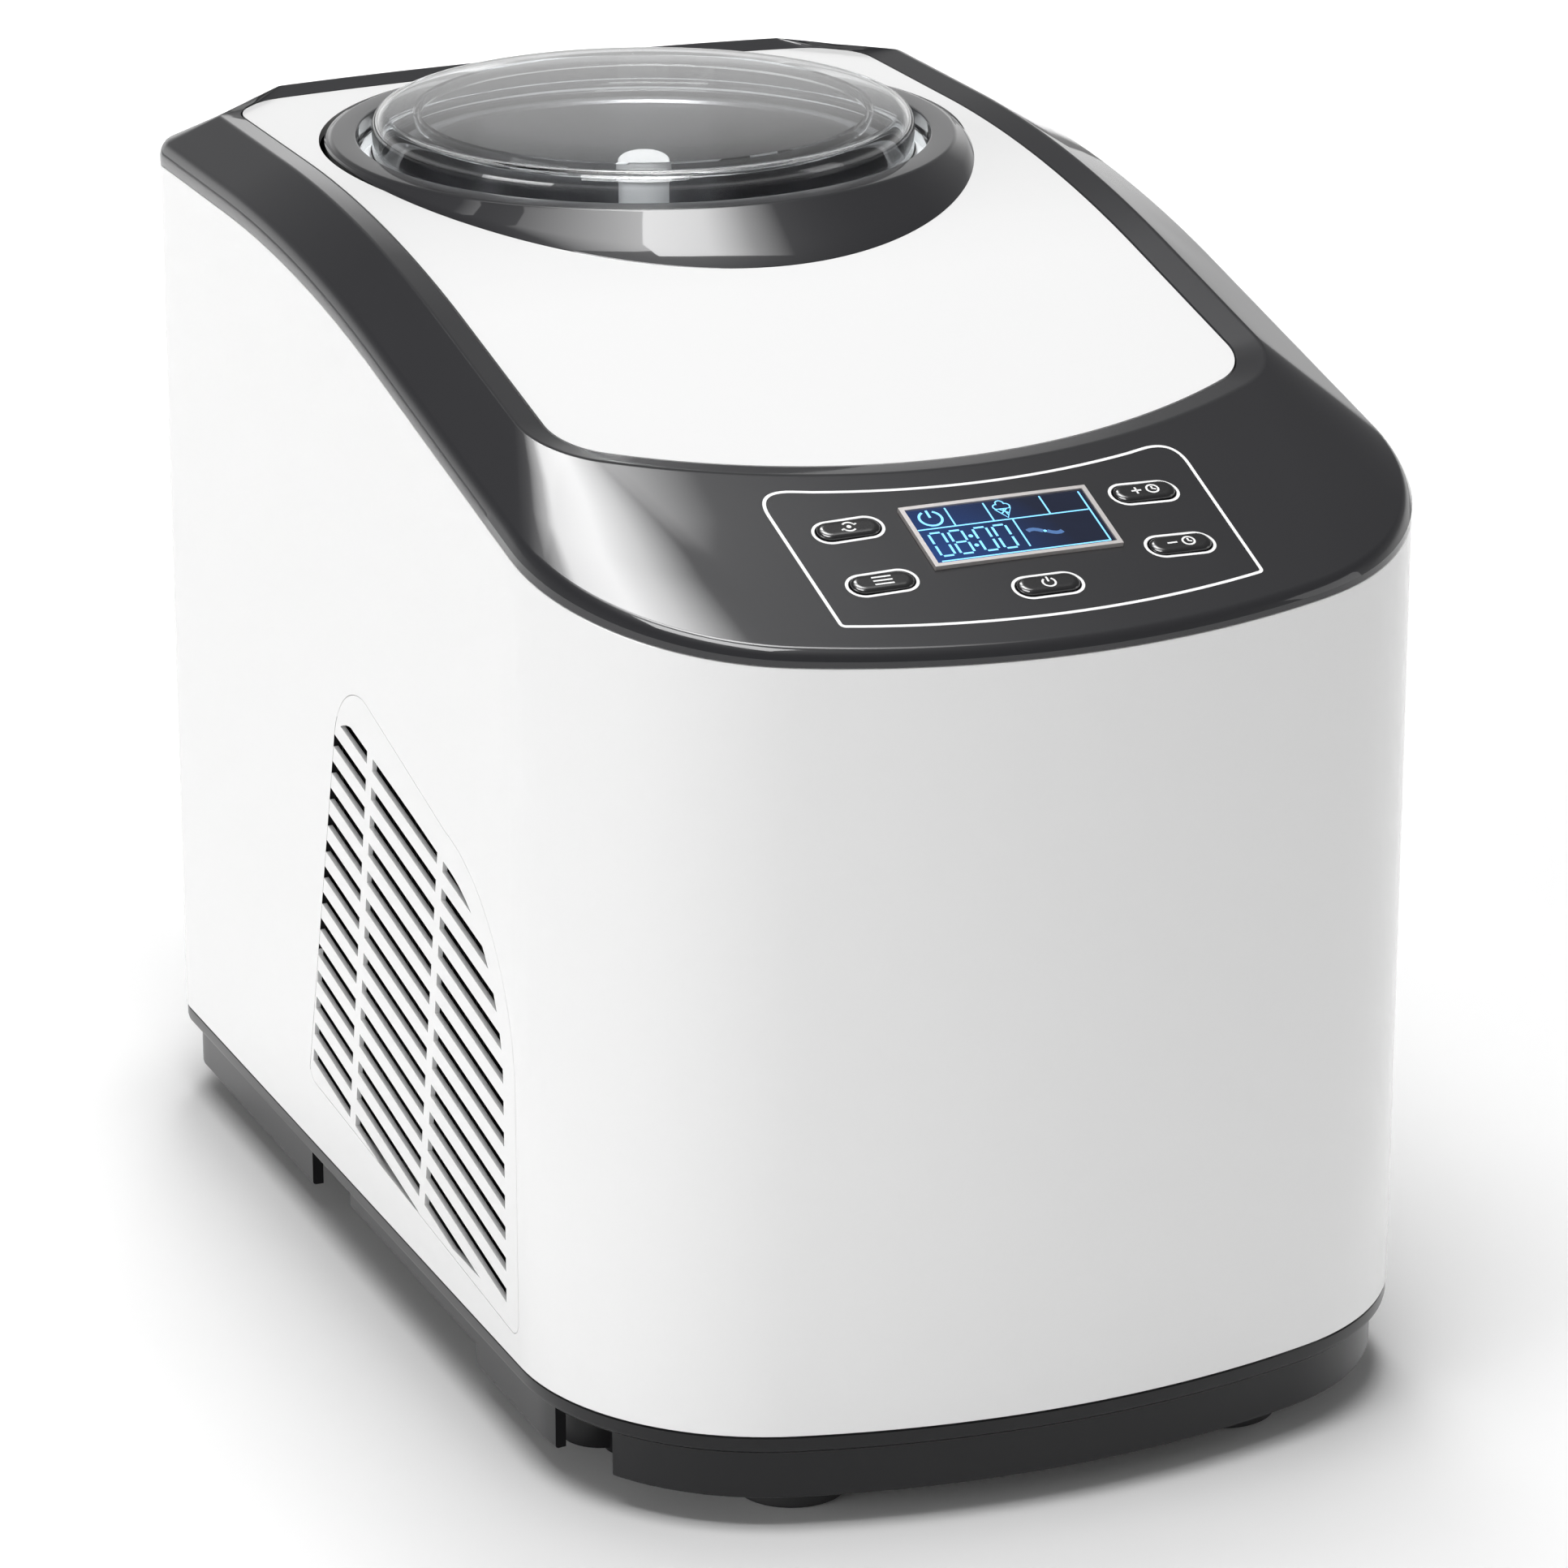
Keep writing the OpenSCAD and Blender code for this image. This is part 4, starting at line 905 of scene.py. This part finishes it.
def base_mesh():
    top = tray_hi[2] - 0.05
    flange = ring_loft("base_tray_moulding", [
        [(x, y, z) for x, y in body_outline(d)] for d, z in
        ((4.0, FLOOR_Z), (2.2, FLOOR_Z), (1.2, FLOOR_Z + 0.25), (0.5, FLOOR_Z + 0.9), (0.25, FLOOR_Z + 1.8),
         (0.25, top - 0.3), (0.5, top), (4.0, top))], close=False, cap=True)
    skirt = ring_loft("skirt", [
        [(x, y, z) for x, y in body_outline(d)] for d, z in
        ((6.9, SKIRT_Z), (4.7, SKIRT_Z), (4.2, SKIRT_Z + 0.3), (4.0, SKIRT_Z + 0.9), (4.0, FLOOR_Z + 0.4),
         (6.9, FLOOR_Z + 0.4))])
    cuts = []
    for s in (-1, 1):
        x0, x1 = sorted((s * (HALF_W - 19), s * (HALF_W + 5)))
        for y0, y1, z1 in ((20, 50, FLOOR_Z), (-73.5, 20.5, 14.0)):
            cuts.append(prism("cut", [(y0, SKIRT_Z - 2), (y1, SKIRT_Z - 2), (y1, z1), (y0, z1)], x0, x1, "X"))
    for cut in cuts:
        boolean(skirt, cut)
    for s in (-1, 1):
        a0, a1 = (-30, -10) if s > 0 else (190, 210)
        ring = arc((s * 49, -115), 62, a0, a1, 8) + arc((s * 49, -115), 50, a1, a0, 8)
        boolean(skirt, prism("notch", ring, SKIRT_Z - 2, FLOOR_Z))
    boolean(flange, skirt, "UNION")
    posts = [prism("post", arc(at, 12, 0, 352, 44), 9.5, FLOOR_Z + 1) for at in FEET]
    for s in (-1, 1):
        posts.append(prism("post", arc((s * 90, -110), 10, 0, 352, 44), 3, FLOOR_Z + 1))
        posts.append(prism("post", arc((s * 84, -118), 8, 0, 352, 44), 2, FLOOR_Z + 1))
    for post in posts:
        boolean(flange, post, "UNION")
    return flange


base = base_mesh()
for s in (-1, 1):
    for i in range(7):
        x, y = s * 60, -40 + i * 12
        boolean(base, prism("air", [(x - 22, y), (x + 22, y), (x + 22, y + 5), (x - 22, y + 5)], 0, 40))
smooth(base, 30)
piece(base, "housing", BASE_DARK, "base_dark", "base_tray")

FOOT_PROFILE = [(5, 0.4), (5.4, 0), (12.6, 0), (13.5, 0.4), (14, 1.4), (14, 6.2), (13.4, 6.8), (13.4, 9.4),
                (2.1, 9.4), (2.1, 3.5), (5, 3.5)]
feet = [revolve("foot", FOOT_PROFILE, at, 64) for at in FEET]
feet = joined("feet_rubber", feet)
smooth(feet, 35)
piece(feet, "housing", RUBBER, "rubber", "rubber_feet")

# ---------------------------------------------------------------- buttons
def button_piece(node, x, y, body):
    """A pill-shaped cap with a softly rounded top, standing on a wider flange."""
    m = plane_at(x, y)
    flange = pill(BUTTON_L + 2, BUTTON_W + 2)
    loops = [placed(flange, -5.4, m), placed(flange, -4.4, m)]
    for d, z in ((0.0, -4.4), (0.0, 0.25), (0.12, 0.5), (0.4, 0.72), (0.9, 0.9), (1.7, BUTTON_TOP)):
        loops.append(placed(pill(BUTTON_L - 2 * d, BUTTON_W - 2 * d), z, m))
    ob = ring_loft(node + "_cap", loops, close=False, cap=True)
    smooth(ob, 35)
    piece(ob, body, BUTTON, "button_black", node)


for node, (x, y, body) in BUTTONS.items():
    button_piece(node, x, y, body)


# ---------------------------------------------------------------- printed lines
def ribbon(name, path, width, closed, surface, thickness=0.05):
    """A flat printed line along a 2-D path; surface(x, y) gives the point in mm and the normal."""
    verts, faces = [], []
    n = len(path)
    for i, p in enumerate(path):
        a = path[i - 1] if (closed or i > 0) else p
        b = path[(i + 1) % n] if (closed or i < n - 1) else p
        d = Vector((b[0] - a[0], b[1] - a[1]))
        d.normalize()
        side = Vector((-d.y, d.x)) * width / 2
        for s in (1, -1):
            at, normal = surface(p[0] + s * side.x, p[1] + s * side.y)
            verts.append(tuple(at + normal * thickness))
    last = n if closed else n - 1
    for i in range(last):
        k = (i + 1) % n
        faces.append((2 * i, 2 * k, 2 * k + 1, 2 * i + 1))
    return new_object(name, verts, faces)


RING_GAP = 1.6
squash_y = math.cos(PANEL_A)
inks = []
for x, y, _ in BUTTONS.values():
    ring = [(x + px, y + py * squash_y) for px, py in pill(BUTTON_L + RING_GAP, BUTTON_W + RING_GAP, 20)]
    inks.append(ribbon("ring", ring, 0.72, True, on_band))


def densify(path, step=1.5):
    """A closed path with extra points, none much further apart than the step."""
    out = []
    for i, p in enumerate(path):
        q = path[(i + 1) % len(path)]
        k = max(1, int(math.dist(p, q) / step))
        for j in range(k):
            out.append((p[0] + (q[0] - p[0]) * j / k, p[1] + (q[1] - p[1]) * j / k))
    return out


BORDER_BOTTOM_R = 226.6
BORDER_TOP_R = CREASE_R + 6.4
BORDER_BOTTOM_X, BORDER_TOP_X = 53.0, 53.9
BORDER_BOTTOM_ROUND, BORDER_TOP_ROUND = 1.4, 7.0
BORDER_STEPS = 24


def border_corners():
    """Points of the border, bowed at the bottom and top, each with the radius that rounds it."""
    def bowed(x, r):
        return (x, FRONT_C - math.sqrt(r ** 2 - x * x))
    bx, tx = BORDER_BOTTOM_X, BORDER_TOP_X
    out = [(bowed(-bx, BORDER_BOTTOM_R), BORDER_BOTTOM_ROUND)]
    out += [(bowed(-bx + 2 * bx * i / BORDER_STEPS, BORDER_BOTTOM_R), 0) for i in range(1, BORDER_STEPS)]
    out += [(bowed(bx, BORDER_BOTTOM_R), BORDER_BOTTOM_ROUND), (bowed(tx, BORDER_TOP_R), BORDER_TOP_ROUND)]
    out += [(bowed(tx - 2 * tx * i / BORDER_STEPS, BORDER_TOP_R), 0) for i in range(3, BORDER_STEPS - 2)]
    return out + [(bowed(-tx, BORDER_TOP_R), BORDER_TOP_ROUND)]


def border_path():
    """The printed border with its corners rounded."""
    corners = border_corners()
    pts = [Vector(p) for p, _ in corners]
    out = []
    for i, (_, r) in enumerate(corners):
        a, b, c = pts[i - 1], pts[i], pts[(i + 1) % len(pts)]
        if r <= 0:
            out.append(tuple(b))
            continue
        u, v = (a - b).normalized(), (c - b).normalized()
        half = math.acos(max(-1, min(1, u.dot(v)))) / 2
        t = min(r / math.tan(half), (a - b).length * 0.95, (c - b).length * 0.95)
        p0, p2 = b + u * t, b + v * t
        for k in range(13):
            f = k / 12
            out.append(tuple(p0 * (1 - f) ** 2 + b * 2 * f * (1 - f) + p2 * f ** 2))
    return densify(out)


inks.append(ribbon("border", border_path(), 0.85, True, on_band))
ink = joined("printed_lines", inks)
ink.data.shade_smooth()
piece(ink, "housing", INK, "cap_white")


def plane_surface(m, z):
    """A flat surface for ribbon, at height z of the frame m."""
    normal = (m.to_3x3() @ Vector((0, 0, 1))).normalized()
    def at(x, y):
        return m @ Vector((x, y, z)), normal
    return at


# ---------------------------------------------------------------- display graphics
def strokes(name, lines, width, surface, body, mat, slot):
    """One piece of several flat lines, each a path and whether it is closed."""
    obs = [ribbon("stroke", path, width, closed, surface, 0.03) for path, closed in lines]
    piece(joined(name, obs), body, mat, slot)


SEGMENTS = {"0": "abcdef", "8": "abcdefg"}


def digit(x, y, w, h, which):
    """Middle lines of a seven-segment digit's bars, with a small gap at each corner."""
    gap_at_end = 0.42
    ends = {"a": ((0, h), (w, h)), "b": ((w, h), (w, h / 2)), "c": ((w, h / 2), (w, 0)), "d": ((0, 0), (w, 0)),
            "e": ((0, 0), (0, h / 2)), "f": ((0, h / 2), (0, h)), "g": ((0, h / 2), (w, h / 2))}
    out = []
    for k in SEGMENTS[which]:
        (x0, y0), (x1, y1) = ends[k]
        d = Vector((x1 - x0, y1 - y0)).normalized() * gap_at_end
        out.append(([(x + x0 + d.x, y + y0 + d.y), (x + x1 - d.x, y + y1 - d.y)], False))
    return out


SCREEN_TOP = 0.5
glow = plane_surface(disp, SCREEN_TOP)
SCREEN_X, SCREEN_Y = DISPLAY_W / 2 - 1.5, DISPLAY_H / 2 - 1.5
SPLIT_Y = 2.75
COLUMN_MARKS = (-12.7, -2.95, 11.4)
thin = [([(-SCREEN_X, SPLIT_Y), (SCREEN_X - 1.2, SPLIT_Y)], False),
        ([(-SCREEN_X + 1.0, -SCREEN_Y + 0.5), (SCREEN_X - 0.8, -SCREEN_Y + 0.5)], False),
        ([(SCREEN_X - 0.9, -SCREEN_Y + 0.5), (SCREEN_X - 0.9, SCREEN_Y - 0.3)], False)]
thin += [([(x, SPLIT_Y), (x, SCREEN_Y - 0.2)], False) for x in COLUMN_MARKS]
thin.append(([(1.6, SPLIT_Y), (1.6, -SCREEN_Y + 2.0)], False))
strokes("screen_lines", thin, 0.42, glow, "housing", GLOW, "screen")
POWER_X, POWER_Y = -17.5, 6.6
icon = [(arc((POWER_X, POWER_Y), 2.75, 118, 422, 28), False),
        ([(POWER_X, POWER_Y + 0.3), (POWER_X, POWER_Y + 3.1)], False)]
strokes("screen_power", icon, 0.62, glow, "housing", GLOW, "screen")
DIGIT_MIDDLES = (-18.8, -13.9, -7.7, -2.8)
DIGIT_FOOT, DIGIT_W, DIGIT_H = -7.7, 3.4, 8.8
digits = []
for x, ch in zip(DIGIT_MIDDLES, "0800"):
    digits += digit(x - DIGIT_W / 2, DIGIT_FOOT, DIGIT_W, DIGIT_H, ch)
strokes("screen_digits", digits, 0.6, glow, "housing", GLOW, "screen")
colon = [(arc((-10.8, y), 0.3, 0, 330, 11), True) for y in (-5.2, -1.6)]
strokes("screen_colon", colon, 0.55, glow, "housing", GLOW, "screen")
CONE = (0.9, 6.5)


def at_cone(pts):
    return [(CONE[0] + x, CONE[1] + y) for x, y in pts]


cone = [(at_cone([(-2.0, 0.4), (0.0, -3.1), (2.0, 0.4), (-2.0, 0.4)]), False),
        (at_cone(arc((-1.1, 1.25), 1.0, 75, 240, 8)), False),
        (at_cone(arc((1.1, 1.25), 1.0, -60, 105, 8)), False),
        (at_cone(arc((0.0, 2.5), 1.0, -15, 195, 8)), False),
        (at_cone([(-1.0, 0.4), (0.95, -1.4)]), False), (at_cone([(1.0, 0.4), (-0.95, -1.4)]), False),
        (at_cone([(0.0, 0.4), (0.5, -2.2)]), False)]
strokes("screen_cone", cone, 0.34, glow, "housing", GLOW, "screen")
HUB = (7.4, -3.2)
blade = []
for s in (1, -1):
    blade.append(([(HUB[0] + s * u, HUB[1] + s * v) for u, v in
                   ((0.5, -0.1), (1.5, -0.75), (2.4, -1.1), (3.4, -1.1), (4.2, -0.7))], False))
strokes("screen_stirrer", blade, 1.25, glow, "housing", DIM_GLOW, "screen")
strokes("screen_hub", [(arc(HUB, 0.24, 0, 330, 11), True)], 0.42, glow, "housing", GLOW, "screen")

# ---------------------------------------------------------------- button icons
def clock(x):
    return [(arc((x, 0), 1.45, 0, 345, 22), True), ([(x, 0.95), (x, 0.0), (x + 0.8, -0.35)], False)]


def icon_lines(node):
    """Plain signs in place of the words on the real keys."""
    minus = ([(-3.4, 0), (-0.9, 0)], False)
    if node == "button_power":
        return [(arc((0, -0.15), 1.55, 125, 415, 18), False), ([(0, 0.1), (0, 1.9)], False)]
    if node == "button_time_up":
        return [minus, ([(-2.15, -1.25), (-2.15, 1.25)], False)] + clock(2.0)
    if node == "button_time_down":
        return [minus] + clock(2.0)
    if node == "button_stir":
        out = [(arc((0, 0), 0.35, 0, 330, 8), True)]
        for s in (1, -1):
            out.append((arc((0, 0), 1.6, 20 if s > 0 else 200, 140 if s > 0 else 320, 10), False))
            out.append(([(s * 2.1, s * 1.0), (s * 1.5, s * 0.55), (s * 1.05, s * 1.2)], False))
        return out
    return [([(-2.4, y), (2.4, y)], False) for y in (1.3, 0.0, -1.3)]


for node, (x, y, body) in BUTTONS.items():
    top = plane_surface(plane_at(x, y), BUTTON_TOP)
    strokes(node + "_mark", icon_lines(node), 0.5, top, body, INK, "cap_white")

# ---------------------------------------------------------------- finishes of the frame's own pieces
FINISH = {"foot_screws": STEEL, "cover_screws": STEEL, "cord_gland": BASE_DARK, "display_bezel": SILVER,
          "display_window": SCREEN, "display_module": LCD_CASE, "control_board": PCB, "tact_switches": STEEL,
          "lid_seal": SEAL, "paddle": PADDLE, "drive_shaft": SHAFT, "drive_gear": NYLON, "motor_pinion": BRASS,
          "gearbox_base": GEARBOX, "gearbox_cover": GEARBOX, "stir_motor": MOTOR, "shaft_bearing": BRONZE,
          "shaft_seal": RUBBER, "cooling_chamber": CHAMBER, "evaporator_coil": COPPER, "insulation": FOAM,
          "compressor": ENAMEL, "compressor_mounts": RUBBER, "condenser": FINS, "fan_shroud": FAN,
          "fan_motor": MOTOR, "fan_rotor": FAN, "filter_drier": COPPER, "discharge_tube": COPPER,
          "suction_tube": COPPER, "capillary_tube": COPPER, "liquid_tube": COPPER, "power_board": PCB}
for node, mat in FINISH.items():
    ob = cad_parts[node]
    ob.data.materials.clear()
    ob.data.materials.append(mat)
    if node in ("display_bezel", "paddle", "cord_gland", "cover_screws"):
        bevel(ob, 0.25)

# ---------------------------------------------------------------- floor, light, camera
floor_me = bpy.data.meshes.new("floor")
FLOOR_HALF = 8
floor_me.from_pydata([(x, y, 0) for x, y in rect(2 * FLOOR_HALF, 2 * FLOOR_HALF)], [], [(0, 1, 2, 3)])
floor = bpy.data.objects.new("floor", floor_me)
bpy.context.scene.collection.objects.link(floor)
floor_me.materials.append(material("floor_pale", (0.92, 0.92, 0.92), 0.9, scale=30, bump=0.0, vary=0.01))

world = bpy.data.worlds.new("studio")
world.use_nodes = True
bpy.context.scene.world = world
sky = world.node_tree
background = sky.nodes["Background"]
direction = add(sky, "ShaderNodeTexCoord")
parts = add(sky, "ShaderNodeSeparateXYZ")
ramp = add(sky, "ShaderNodeValToRGB")
sky.links.new(direction.outputs["Generated"], parts.inputs[0])
sky.links.new(parts.outputs["Z"], ramp.inputs["Fac"])
sky.links.new(ramp.outputs["Color"], background.inputs["Color"])
def set_ramp(node, stops):
    """Fills a colour ramp with grey levels at the given places."""
    elements = node.color_ramp.elements
    while len(elements) < len(stops):
        elements.new(0.5)
    for element, (place_at, level) in zip(elements, stops):
        element.position = place_at
        element.color = (level, level, level, 1)


# a pale wall round the set, under a dim ceiling
set_ramp(ramp, ((0.0, 0.95), (0.16, 0.85), (0.34, 0.2), (0.62, 0.10), (1.0, 0.16)))


def area(name, at, target, size, power, size_y, spread=180):
    data = bpy.data.lights.new(name, "AREA")
    data.energy = power
    data.shape = "RECTANGLE"
    data.size = size
    data.size_y = size_y
    data.spread = math.radians(spread)
    ob = bpy.data.objects.new(name, data)
    bpy.context.scene.collection.objects.link(ob)
    ob.location = at
    ob.rotation_euler = (Vector(target) - Vector(at)).to_track_quat("-Z", "Y").to_euler()
    return ob


CEILING_Z = 2.1
MIDDLE = (0, 0, 0.13)


def shaded_panel(name, x0, x1, y0, y1, radiance, levels):
    """A ceiling softbox that faces down; levels are its brightness from x0 to x1."""
    width, depth = x1 - x0, y1 - y0
    power = radiance * math.pi * width * depth
    ob = area(name, ((x0 + x1) / 2, (y0 + y1) / 2, CEILING_Z), (0, 0, 0), width, power, depth)
    ob.rotation_euler = (0, 0, 0)
    ob.data.use_nodes = True
    nt = ob.data.node_tree
    link = nt.links.new
    across = add(nt, "ShaderNodeNewGeometry")
    split = add(nt, "ShaderNodeSeparateXYZ")
    fade = add(nt, "ShaderNodeValToRGB")
    link(across.outputs["Parametric"], split.inputs[0])
    link(split.outputs["X"], fade.inputs["Fac"])
    link(fade.outputs["Color"], nt.nodes["Emission"].inputs["Color"])
    set_ramp(fade, levels)


area("key_left", (-2.2, -0.5, 0.42), MIDDLE, 1.3, 16, 0.7)
shaded_panel("ceiling_main", 0.08, 0.80, 0.12, 0.72, 13,
             ((0.0, 1.0), (0.4, 0.85), (0.55, 0.6), (0.72, 0.3), (1.0, 0.0)))
shaded_panel("ceiling_left", -0.5, 0.08, 0.2, 0.75, 13, ((0.0, 0.0), (1.0, 0.5)))
shaded_panel("ceiling_rear", 0.0, 0.64, 0.86, 1.3, 12,
             ((0.0, 0.05), (0.2, 0.35), (0.3, 0.85), (0.6, 1.0), (0.8, 0.6), (0.9, 0.3), (1.0, 0.0)))
area("ceiling_front", (-0.35, -0.5, CEILING_Z), (0.0, 0.0, 0.2), 1.0, 24, 0.8)
area("right_fill", (1.9, -1.0, 0.8), MIDDLE, 0.7, 3, 1.2)
area("back_floor", (0.9, 2.3, 2.0), (0.9, 2.3, 0.0), 3.0, 34, 2.6, 70)

YAW, PITCH = math.radians(22.834), math.radians(19.558)
cam_data = bpy.data.cameras.new("camera")
cam_data.lens = 152.1
cam_data.sensor_width = 36
cam_data.clip_start = 0.05
cam = bpy.data.objects.new("camera", cam_data)
bpy.context.scene.collection.objects.link(cam)
cam.location = (-0.6162, -1.4738, 0.6884)
look = Vector((math.sin(YAW) * math.cos(PITCH), math.cos(YAW) * math.cos(PITCH), -math.sin(PITCH)))
cam.rotation_euler = look.to_track_quat("-Z", "Y").to_euler()
bpy.context.scene.camera = cam
bpy.context.scene.view_settings.view_transform = "Standard"
bpy.context.scene.view_settings.look = "None"
